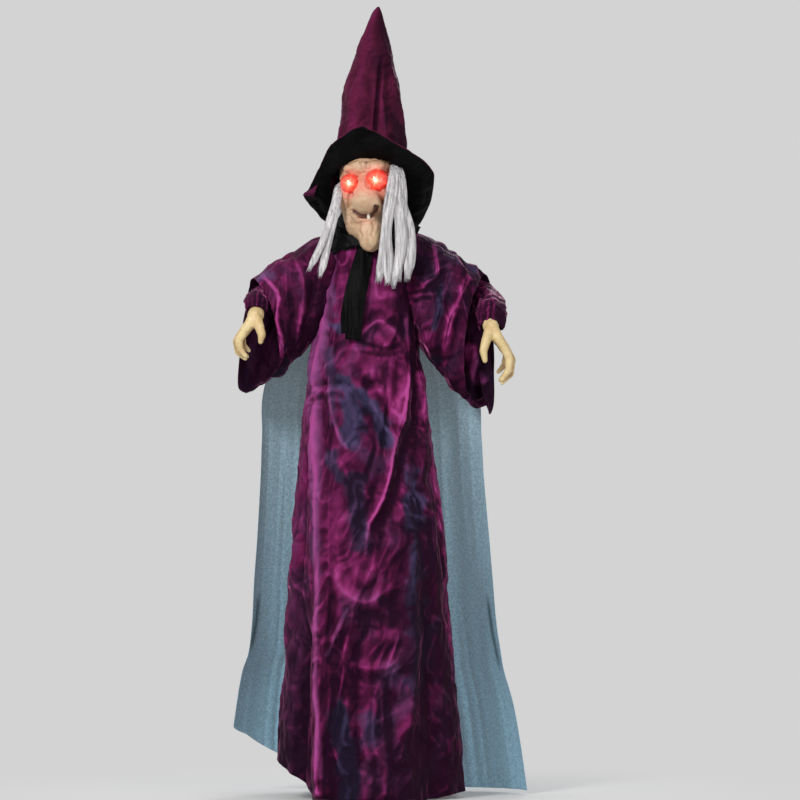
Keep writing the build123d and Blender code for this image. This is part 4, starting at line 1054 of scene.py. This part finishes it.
def make_mask():
    balls = [
        ((0, -4, 20), (59, 60, 60)),
        ((0, -16, -14), (56, 54, 50)),
        ((0, -30, -42), (50, 48, 34)),
        ((0, -52, 36), (42, 26, 20)),
        ((-2, -44, -60), (39, 38, 30)),
        ((0, -56, -90), (34, 30, 28)),
        ((3, -62, -90), 30, (5, -77, -112), 22.5),
        ((-43, -50, -22), (24, 22, 26)),
        ((-34, -48, -58), (18, 20, 28)),
        ((-31, -52, -74), (17, 19, 28)),
        ((22, -78, -42), (13, 12, 15)),
        ((-18, -80, -44), (11, 10, 10)),
        ((1, -66, 14), 12, (2, -84, -10), 20),
        ((2, -84, -10), 20, (3, -96, -28), 24),
        ((3, -100, -33), (28, 22, 22)),
        ((0, -72, -54), (29, 15, 9)),
        ((0, -72, -70), (25, 16, 9)),
    ]
    balls += both(36, -56, -22, (23, 20, 20))
    balls += both(24, -64, 36, (19, 13, 9)) + both(26, -52, -58, (13, 18, 26))
    points, faces = blob_mesh("mask_skin", balls, 6)
    normal = vertex_normals(points, faces)
    tone = np.full(len(points), 0.55)
    blush_and_glow = np.zeros(len(points))
    move = np.zeros(len(points))
    front = points[:, 1] < -20

    def carve(depth, width, dark, count, *line):
        nonlocal move, tone
        gap, _ = polyline_distance(points[:, [0, 2]], curve_through(line, count))
        cut = bump_at(gap, width) * front
        lip = bump_at(gap - 2.2 * width, 1.3 * width) * front
        move -= depth * cut - 0.35 * depth * lip
        tone -= dark * cut

    # mouth: a crooked grin, darker inside
    carve(7, 3.2, 0.85, 24, (-25, -52), (-16, -59), (-4, -63), (9, -62), (19, -55), (25, -46))
    for sign in (-1, 1):
        def side_line(*line):
            return [(sign * x, z) for x, z in line]

        # from nose to jaw, across the cheek, beside the chin, under and beside the eye
        carve(2.6, 3.0, 0.16, 16, *side_line((30, -14), (35, -34), (35, -56), (30, -76)))
        carve(1.8, 2.6, 0.14, 12, *side_line((42, -26), (46, -44), (40, -66)))
        carve(1.6, 2.4, 0.20, 12, *side_line((12, -76), (15, -88), (10, -102)))
        carve(2.2, 2.6, 0.25, 16, *side_line((12, 6), (20, -6), (36, -6), (50, 2)))
        carve(1.4, 2.0, 0.20, 6, *side_line((54, 14), (62, 8)))
    # brow, the frown between the eyes and the cleft of the chin
    for height in (48, 56, 64):
        carve(1.5, 2.0, 0.2, 16, (-34, height - 2), (-14, height + 2), (12, height - 1), (34, height + 2))
    carve(2.0, 2.2, 0.25, 6, (-4, 32), (-6, 46))
    carve(2.0, 2.2, 0.25, 6, (5, 32), (7, 46))
    carve(1.6, 3.0, 0.15, 10, (0, -96), (1, -112), (0, -126))
    # sockets round the lit eyes
    for x, _, z, radius in EYES:
        away = np.hypot(points[:, 0] - x, points[:, 2] - z)
        move -= 5 * (1 - step(radius * 0.8, radius * 1.1, away)) * front
        move += 2.6 * bump_at(away - radius * 1.12, 2.6) * front
        # painted glow: the eyes' red light painted onto the face round them
        blush_and_glow += 0.80 * bump_at(np.maximum(away - radius, 0), 12) * front
        tone -= 0.15 * bump_at(away - radius, 2.5) * front
    # pale nose and chin, and a painted highlight on the right cheek; red cheeks and lower lip
    tone += 0.02 * near(points, (3, -114, -30), 28)
    tone += 0.48 * near(points, (-48, -68, -30), 26)
    tone += 0.16 * near(points, (0, -90, -112), 30)
    blush_and_glow += 0.35 * (near(points, (-36, -72, -24), 18) + near(points, (36, -72, -24), 18))
    blush_and_glow += 0.30 * near(points, (0, -84, -72), 16)
    wrinkles = (creases(points / 17, 2, 37, 0.5) - 0.3) * 1.2
    move += 1.1 * layered_noise(points / (11, 11, 15), 3, 29) + wrinkles
    tone += 0.12 * layered_noise(points / 13, 3, 41)
    shaped = on_head(points + normal * move[:, None])
    mask = new_object("Mask_Skin", shaped, faces, FACE)
    set_attribute(mask, "tone", np.clip(tone, 0, 1))
    set_attribute(mask, "blush_and_glow", np.clip(blush_and_glow, 0, 0.9))
    fit(mask, "head", "skin", "face_mask", "skull_shell")

    tooth_path = on_head([(6, -88, -70), (6, -91, -66), (6, -92, -61), (6, -91, -57)])
    tooth = joined_tubes("Mask_Tooth", [tube_points(tooth_path, (3.4, 3.6, 3.0, 1.6), 16, 0.7)],
                         plain_stuff("Tooth_Enamel", (0.80, 0.74, 0.60), 0.3))
    rounded = tooth.modifiers.new("Rounded", "SUBSURF")
    rounded.levels = rounded.render_levels = 1
    fit(tooth, "head", "skin")


def make_eyes():
    for name, (x, y, z, radius) in zip(("right", "left"), EYES):
        centre = on_head((x, y + EYE_INSET, z))
        front = on_head((x, y + EYE_INSET - radius * EYE_DEPTH, z))
        rows, columns = 18, 48
        polar = np.linspace(0.02, 1.0, rows)[:, None] * math.pi * 0.56
        turn = turns(columns)[None, :]
        local = np.stack([
            radius * np.sin(polar) * np.cos(turn),
            -radius * EYE_DEPTH * np.cos(polar) * np.ones_like(turn),
            radius * np.sin(polar) * np.sin(turn)], axis=2)
        points = local @ TURN.T + centre
        faces = grid_faces(rows, columns, True) + [tuple(range(columns))]
        dome = new_object(f"{name.title()}_Eye_Dome", points.reshape(-1, 3), faces,
                          glowing_lens(f"{name.title()}_Eye_Glow", front, radius * 1.25))
        wall = dome.modifiers.new("Wall", "SOLIDIFY")
        wall.thickness = 1.2 * MM
        fit(dome, "head", "eye_red", f"{name}_eye_lens")


# ---- Hair ---------------------------------------------------------------------------------
STRAND_POINTS = 22


def make_lock(name, path, half_width, half_thickness, across, count, seed, fray=5.0):
    """A soft flat lock along a path, wrapped in count loose fibres; across is the way its width lies."""
    rng = np.random.default_rng(seed)
    rows, sides = 46, 30
    line = curve_through(path, rows)
    share = np.linspace(0, 1, rows)
    across = np.array(across, float) / np.linalg.norm(across)
    level = np.zeros(rows)
    wander = [smooth_noise(np.stack([share * 3.2, level, level + k], axis=1), seed) for k in (0, 1)]
    sideways, forward = across * wander[0][:, None] * 6.5, np.array((0, 1, 0)) * wander[1][:, None] * 3.5
    line = line + (sideways + forward) * share[:, None]
    tangent = np.gradient(line, axis=0)
    tangent /= np.linalg.norm(tangent, axis=1, keepdims=True)
    through = np.cross(tangent, across)
    through /= np.linalg.norm(through, axis=1, keepdims=True)
    narrow = 1 - 0.55 * step(0.90, 1.0, share)
    width = half_width * (0.8 + 0.2 * np.sin(share * math.pi * 0.85)) * narrow * (1 + 0.22 * wander[0])
    thick = half_thickness * (0.85 + 0.15 * np.sin(share * math.pi)) * narrow
    turn = turns(sides)
    body = (line[:, None] + across * (np.cos(turn) * width[:, None])[..., None]
            + through[:, None] * (np.sin(turn) * thick[:, None])[..., None])
    strands = np.stack([np.cos(turn) * 2.6, np.sin(turn) * 2.6, turn * 0], axis=1)
    swirl = np.concatenate([strands + (0, 0, s * 3.0 + seed) for s in share])
    grooves = crumple(swirl, 2, seed) * 3.2 + 0.5 * layered_noise(swirl * 3, 2, seed + 1)
    out = body - line[:, None]
    out /= np.linalg.norm(out, axis=2, keepdims=True)
    body = body + out * grooves.reshape(rows, sides, 1) * (1 - 0.7 * share[:, None, None])
    tubes = [body]
    for _ in range(count):
        a = rng.uniform(0, 2 * math.pi)
        reach = rng.uniform(0.85, 1.06)
        u, v = reach * math.cos(a), reach * math.sin(a)
        begin = rng.integers(0, 12)
        wave = rng.uniform(-1, 1) * np.sin(share * rng.uniform(5, 12) + rng.uniform(0, 6)) * 1.6
        stray = rng.normal(0, 1) * fray * np.clip(share - 0.6, 0, 1) ** 1.6
        sideways, forward = u * width + wave + stray, v * thick + 0.4 * wave
        strand = line + across * sideways[:, None] + through * forward[:, None]
        strand = curve_through(strand[begin:], STRAND_POINTS)
        strand[-1] += tangent[-1] * rng.uniform(-6, 7)
        radii = rng.uniform(0.45, 0.95) * (1 - 0.7 * np.linspace(0, 1, STRAND_POINTS) ** 2)
        tubes.append(tube_points(strand, radii, 4))
    lock = joined_tubes(name, tubes, HAIR)
    fit(lock, "head", "hair")
    return lock


RIGHT_LOCKS = (
    ((-54, -26, 1242), (-63, -62, 1230), (-68, -84, 1202), (-80, -96, 1160), (-92, -102, 1122),
     (-105, -107, 1092), (-118, -110, 1066)),
    ((-52, -30, 1240), (-61, -66, 1226), (-65, -88, 1198), (-72, -98, 1158), (-80, -104, 1118),
     (-89, -109, 1084), (-98, -111, 1052)),
)
LEFT_LOCKS = (
    ((47, -50, 1276), (47, -84, 1256), (43, -101, 1222), (37, -110, 1180), (33, -113, 1135),
     (25, -115, 1090), (13, -116, 1042)),
    ((50, -50, 1275), (51, -86, 1254), (48, -104, 1212), (40, -112, 1155), (36, -114, 1095),
     (32, -116, 1038)),
    ((53, -49, 1274), (56, -84, 1252), (57, -101, 1205), (60, -108, 1145), (60, -111, 1085),
     (51, -113, 1032)),
    ((56, -47, 1272), (62, -80, 1248), (66, -95, 1200), (66, -102, 1140), (63, -106, 1090),
     (66, -109, 1046)),
    ((52, -46, 1264), (56, -74, 1240), (67, -88, 1196), (77, -94, 1150), (79, -100, 1105),
     (71, -105, 1046)),
    ((52, -48, 1272), (58, -80, 1244), (60, -94, 1190), (60, -101, 1130), (60, -105, 1080),
     (60, -108, 1062)),
)
BACK_LOCKS = 9


def make_hair():
    right, left, back = [], [], []
    for i, path in enumerate(RIGHT_LOCKS):
        right.append(make_lock(f"Right_Hair_Lock_{i + 1}", path, 9.0, 4.5, (0.85, -0.5, 0), 44, 200 + i))
    for i, path in enumerate(LEFT_LOCKS):
        left.append(make_lock(f"Left_Hair_Lock_{i + 1}", path, 10.0, 5.5, (0.93, 0.35, 0), 44, 300 + i))
    for i in range(BACK_LOCKS):
        angle = math.radians(-8 + 24.5 * i)
        out = np.array((math.cos(angle), math.sin(angle)))
        path = [(out[0] * r, -8 + out[1] * d, z) for r, d, z in
                ((48, 40, 1226), (54, 46, 1202), (62, 55, 1174), (68, 62, 1143))]
        across = (-out[1], out[0], 0)
        back.append(make_lock(f"Back_Hair_Lock_{i + 1}", path, 15, 5.0, across, 40, 400 + i))
    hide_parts("right_hair")
    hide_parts("left_hair")
    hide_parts("back_hair")


# ---- Hat ----------------------------------------------------------------------------------
BRIM_EDGE = (
    # the brim's edge from the figure's left round the back, right and front
    (129, -8, 1250), (120, 42, 1200), (92, 78, 1160), (40, 92, 1150), (-20, 92, 1150), (-76, 80, 1160),
    (-112, 46, 1190), (-133, 8, 1216), (-122, -8, 1232), (-103, -36, 1268), (-83, -64, 1306),
    (-54, -96, 1336),
    (-20, -114, 1351), (10, -110, 1340), (44, -98, 1326), (74, -78, 1309), (104, -56, 1288),
    (125, -30, 1268),
)
CROWN = (
    # z, centre x, centre y, half width, half depth
    (1351, 5.5, 2, 66, 66), (1391, 6, 3, 61, 61), (1432, 5, 5, 56, 55), (1472, 6.5, 7, 44.5, 44),
    (1513, 9.5, 9, 33.5, 33), (1553, 11, 11, 21, 21), (1586, 14, 13, 10.5, 10.5),
    (1600, 17, 14, 2.5, 2.5),
)
HAT_TIP = 1600
# Painted highlights and painted shade on the crown: a line as (x, z) points, half its width, the shine and
# the blue.
CROWN_MARKS = (
    (((60, 1334), (56, 1326), (44, 1334)), 9, -0.35, 0),
    (((-50, 1400), (-56, 1350)), 12, -0.08, 0),
    (((50, 1440), (60, 1380)), 14, 0.20, 0),
)
# The hat's opening: its centre, its half width and half length, and its tilt.
RING = ((0, -10, 1235), (80, 88), math.radians(41))


def ring_points(columns, grow=1.0):
    """The hat's opening: an ellipse on a plane that rises towards the front."""
    (cx, cy, cz), (half_width, half_length), tilt = RING
    angle = turns(columns)
    across = np.cos(angle) * half_width * grow
    along = np.sin(angle) * half_length * grow
    return np.stack([cx + across, cy + along * math.cos(tilt), cz - along * math.sin(tilt)], axis=1)


def brim_points(rows, columns, drop):
    ring = ring_points(columns, 0.985)
    edge = curve_through(BRIM_EDGE, columns, True)
    share = np.linspace(0, 1, rows)[:, None, None]
    points = ring[None] * (1 - share) + edge[None] * share
    up = np.array((0, math.sin(RING[2]), math.cos(RING[2])))
    flat = points.reshape(-1, 3)
    wave = layered_noise(flat / 52, 3, 71) * 6 + (creases(flat / 30, 2, 73, 0.4) - 0.3) * 4
    wave = wave.reshape(rows, columns) * step(0.1, 0.7, share[..., 0])
    sag = -6 * np.sin(share[..., 0] * math.pi)
    return points + up * (wave + sag - drop)[..., None]


def make_hat():
    rows, columns = 26, 260
    top = cloth_grid("Hat_Brim_Top", brim_points(rows, columns, 0.0), HAT_CLOTH, True, -1, 0.9)
    under = cloth_grid("Hat_Brim_Lining", brim_points(rows, columns, 1.7), BLACK_CLOTH, True, 1, 0.9)
    edge = brim_points(rows, columns, 0.85)[-1]
    closed = np.vstack([edge, edge[:1]])
    rope = tube_points(closed, np.full(len(closed), 1.2), 8)
    piping = joined_tubes("Hat_Brim_Piping", [rope], HAT_CLOTH)
    set_attribute(piping, "painted_light", np.full(len(piping.data.vertices), 0.5))
    set_attribute(piping, "cool", np.zeros(len(piping.data.vertices)))
    # the corner at the figure's right is turned up: a triangle from its tip
    across, along = np.meshgrid(np.linspace(0, 1, 24), np.linspace(0, 1, 24))
    tip, high, low = np.array(((-137, -2, 1217), (-106, -20, 1238), (-113, -16, 1214)), float)
    corner = tip + (high - tip) * (across * along)[..., None]
    corner = corner + (low - tip) * ((1 - across) * along)[..., None]
    uneven = layered_noise(corner.reshape(-1, 3) / 9, 2, 77).reshape(across.shape)
    corner[..., 1] -= 5 * np.sin(across * math.pi) * along + 1.5 * uneven
    # a little painted highlight on the turned-up corner
    corner = cloth_grid("Hat_Brim_Turned_Corner", corner[1:], HAT_CLOTH, False, -1, 1.0, glow=0.12)
    fit(corner, "head", "hat_fabric")
    fit(top, "head", "hat_fabric")
    fit(under, "head", "black_fabric", "hat_brim")
    fit(piping, "head", "hat_fabric")

    rows, columns = 190, 200
    angle = turns(columns)
    rings = [ring_points(columns, 0.995)]
    for z, cx, cy, half_width, half_depth in CROWN:
        x, y = cx + half_width * np.cos(angle), cy + half_depth * np.sin(angle)
        rings.append(np.stack([x, y, np.full(columns, z)], axis=1))
    rings = np.array(rings)
    points = np.stack([curve_through(rings[:, c], rows) for c in range(columns)], axis=1)
    out = grid_normals(points, True)
    flat = points.reshape(-1, 3)
    room = step(HAT_TIP, HAT_TIP - 100, flat[:, 2]) * 0.8 + 0.2
    room *= np.repeat(step(0, 0.10, np.linspace(0, 1, rows)), columns)
    move = crumple(flat / (40, 40, 200), 2, 131) * 6
    x, y, z = flat.T
    slanted = np.stack([(x + 0.4 * z) / 60, y / 60, (z - 0.3 * x) / 40], axis=1)
    move += crumple(slanted, 3, 137) * 2.6
    move += crumple(flat / 17, 2, 139) * 0.8
    gap, along = polyline_distance(flat[:, [0, 2]], ((24, 1500), (19, 1440), (10, 1330)))
    move -= 6 * bump_at(gap, 4.5) * np.clip(along * 4, 0, 1) * (y < 0)
    points = points + out * (move * room).reshape(*points.shape[:2], 1)
    seam = -0.30 * bump_at(gap, 5) * np.clip(along * 6, 0, 1) * (y < 0)
    shine, _ = marks(flat, CROWN_MARKS)
    shine = (seam + shine + 0.03).reshape(points.shape[:2])
    crown = cloth_grid("Hat_Crown_Cloth", points, HAT_CLOTH, True, 1, 1.0, glow=shine)
    fit(crown, "head", "hat_fabric", "hat_crown")
    return top, under, crown, corner


# ---- Collar, tie and cape -----------------------------------------------------------------
def make_collar():
    rows, columns = 70, 260
    around = turns(columns)
    # the band's section runs from the inner bottom over the top and round the outside, open inside
    across = np.linspace(math.radians(206), math.radians(-146), rows)
    a, c = np.meshgrid(around, across)
    front = np.clip(-np.sin(a), 0, 1) ** 1.3
    behind = np.clip(np.sin(a), 0, 1) ** 0.7
    middle_z = 1146 - 4 * front + 4 * np.cos(a) - 17 * behind
    wide, deep = 72, 58
    tall, thick = 34 + 2 * front - 10 * behind, 18 - 4 * front - 2 * behind
    out = thick * np.cos(c)
    lean = -0.55 * tall * np.sin(c)
    x = (wide + out + lean) * np.cos(a)
    y = (deep + out + 0.6 * lean) * np.sin(a)
    z = middle_z + tall * np.sin(c)
    points = np.stack([x, y, z], axis=2)
    centre = np.stack([wide * np.cos(a), deep * np.sin(a), middle_z], axis=2)
    normal = points - centre
    normal /= np.linalg.norm(normal, axis=2, keepdims=True)
    flat = points.reshape(-1, 3)
    move = crumple(flat / (26, 26, 17), 3, 151) * 20 + crumple(flat / (11, 11, 8), 2, 157) * 5
    move *= 1 - 0.5 * behind.ravel()
    points = points + normal * move.reshape(rows, columns, 1)
    collar = cloth_grid("Collar_Scarf", points, CRUMPLED_BLACK, True, thickness=1.2)
    fit(collar, "root", "black_fabric", "collar")
    return collar


def make_tie():
    tails = []
    rows, columns = 60, 30
    for i, (shift, end, push) in enumerate(((-4, 938, 0.0), (4, 924, 4.0))):
        middle = curve_through((
            (-8 + shift * 0.2, -74 - push, 1112), (-17 + shift * 0.5, -86 - push, 1070),
            (-27 + shift * 0.8, -96 - push, 1025), (-35 + shift, -106 - push, 975),
            (-37 + shift, -111 - push, end)), rows)
        half = curve_through(((15, 0), (18, 0), (19, 0), (18.5, 0), (16, 0)), rows)[:, :1]
        across = half * np.linspace(-1, 1, columns)
        cupped = 0.24 * across**2 / half - 1
        # each tail is cut at a slant, one to either side
        slant = -0.12 * across * (1 if i else -1) * np.linspace(0, 1, rows)[:, None] ** 3
        points = middle[:, None, :] + np.stack([across, cupped, slant], axis=2)
        x, _, z = points.reshape(-1, 3).T
        ripple = crumple(np.stack([x / 16, x * 0 + i, z / 110], axis=1), 2, 171 + i) * 9
        points[..., 1] -= ripple.reshape(rows, columns)
        tails.append(cloth_grid(f"Neck_Tie_Tail_{i + 1}", points, BLACK_CLOTH, False, -1, 1.2))
    fit(tails[0], "root", "black_fabric", "neck_tie")
    fit(tails[1], "root", "black_fabric")
    return tails


CAPE = (
    # z, left edge, right edge, y of the edges, y of the middle
    (0, -283, 321, 62, 186), (105, -281, 306, 62, 180), (187, -271, 291, 64, 176),
    (250, -260, 273, 66, 174), (290, -247, 266, 66, 172), (352, -240, 257, 67, 168),
    (435, -236, 250, 68, 163), (518, -230, 243, 68, 157), (642, -223, 232, 69, 148),
    (728, -220, 227, 70, 140), (834, -214, 217, 72, 126), (1000, -150, 150, 76, 106),
    (1080, -112, 112, 72, 90), (1118, -84, 84, 62, 78),
)
CAPE_TOP = 1118
# Two lines of painted shade near the edges, where folds would shadow the cloth, as (x, z).
CAPE_SHADES = (((-226, 412), (-232, 350), (-243, 292)), ((238, 410), (249, 332), (266, 250)))


def make_cape():
    rows, columns = 190, 240
    share = np.linspace(0, 1, rows)[:, None] * np.ones((1, columns))
    across = np.ones((rows, 1)) * np.linspace(-1, 1, columns)
    lift = np.interp(across, (-1, -0.75, -0.5, -0.3, -0.1, 0), (138, 120, 78, 36, 12, 8))
    z = lift + (CAPE_TOP - lift) * share
    left, right, edge_y, middle_y = table_at(CAPE, z)
    quarter = math.pi / 2
    round_x = np.sin(across * quarter * 0.96) / math.sin(quarter * 0.96)
    x = (left + right) / 2 + (right - left) / 2 * round_x
    y = edge_y + (middle_y - edge_y) * np.cos(across * quarter)
    fall = 1 - share
    lines = np.stack([across.ravel() * 7.5, np.zeros(x.size), z.ravel() / 800], axis=1)
    behind = fall * (1 - across**2) ** 4
    ripple = crumple(lines, 2, 191).reshape(rows, columns) * (1.5 + 2.5 * fall + 26 * behind)
    ripple += np.sin(across * 13 + np.sin(across * 5 + z / 500)) * 11 * behind
    gathers = np.sin(across * 46 + 2 * np.sin(across * 9)) * 4 * step(0.8, 1.0, share)
    points = np.stack([x, y - ripple + gathers, z], axis=2)
    cape = cloth_grid("Cape_Cloth", points, CAPE_MESH, False, 1, 0.5)
    shade = np.clip(-ripple / 26, 0, 0.35).ravel() * step(0.52, 0.3, np.abs(across)).ravel()
    for line in CAPE_SHADES:
        gap, along = polyline_distance(np.stack([x.ravel(), z.ravel()], axis=1), line)
        shade += bump_at(gap, 3.5) * np.clip(np.minimum(along, 1.04 - along) * 5, 0, 1)
    set_attribute(cape, "shade", shade)
    set_attribute(cape, "high", step(150, 900, z))
    fit(cape, "root", "cape_mesh", "cape")
    return cape


# ---- CAD pieces that show as they are -----------------------------------------------------
def finish_cad_nodes():
    kinds = {
        "stand_plastic": plain_stuff("Stand_Plastic", (0.018, 0.018, 0.018), 0.45),
        "stand_steel": plain_stuff("Stand_Steel", (0.02, 0.02, 0.02), 0.38, grain=320),
        "rubber": plain_stuff("Foot_Rubber", (0.015, 0.015, 0.015), 0.85),
        "housing_plastic": plain_stuff("Housing_Plastic", (0.03, 0.03, 0.032), 0.5, grain=420),
        "gear_plastic": plain_stuff("Gear_Plastic", (0.62, 0.60, 0.54), 0.45),
        "steel": plain_stuff("Zinc_Steel", (0.50, 0.50, 0.52), 0.32, 1.0, 260, 0.12, 0.0002),
        "arm_plastic": plain_stuff("Arm_Plastic", (0.035, 0.035, 0.035), 0.5),
        "circuit_board": plain_stuff("Circuit_Board", (0.012, 0.12, 0.045), 0.4),
        "lead": plain_stuff("Lead_Jacket", (0.02, 0.02, 0.02), 0.55),
        "cell": plain_stuff("Cell_Wrap", (0.06, 0.06, 0.07), 0.3),
        "eye_red": plain_stuff("Led_Body", (0.6, 0.03, 0.02), 0.2),
    }
    slots = {part["node"]: part["material_slot"] for part in frame["record"]["subparts"]}
    for name, node in frame["nodes"].items():
        material = kinds.get(slots[name])
        if material is None:
            continue
        for index in range(len(node.data.materials)):
            node.data.materials[index] = material


dress = make_dress()
right_bell, left_bell = [make_sleeve(name) for name in ("right", "left")]
right_inner, left_inner = [make_inner_sleeve(name) for name in ("right", "left")]
for side_name in SHOULDERS:
    make_hand(side_name)
make_mask()
make_eyes()
make_hair()
brim, lining, crown, corner = make_hat()
collar = make_collar()
front_tail, back_tail = make_tie()
cape = make_cape()
finish_cad_nodes()
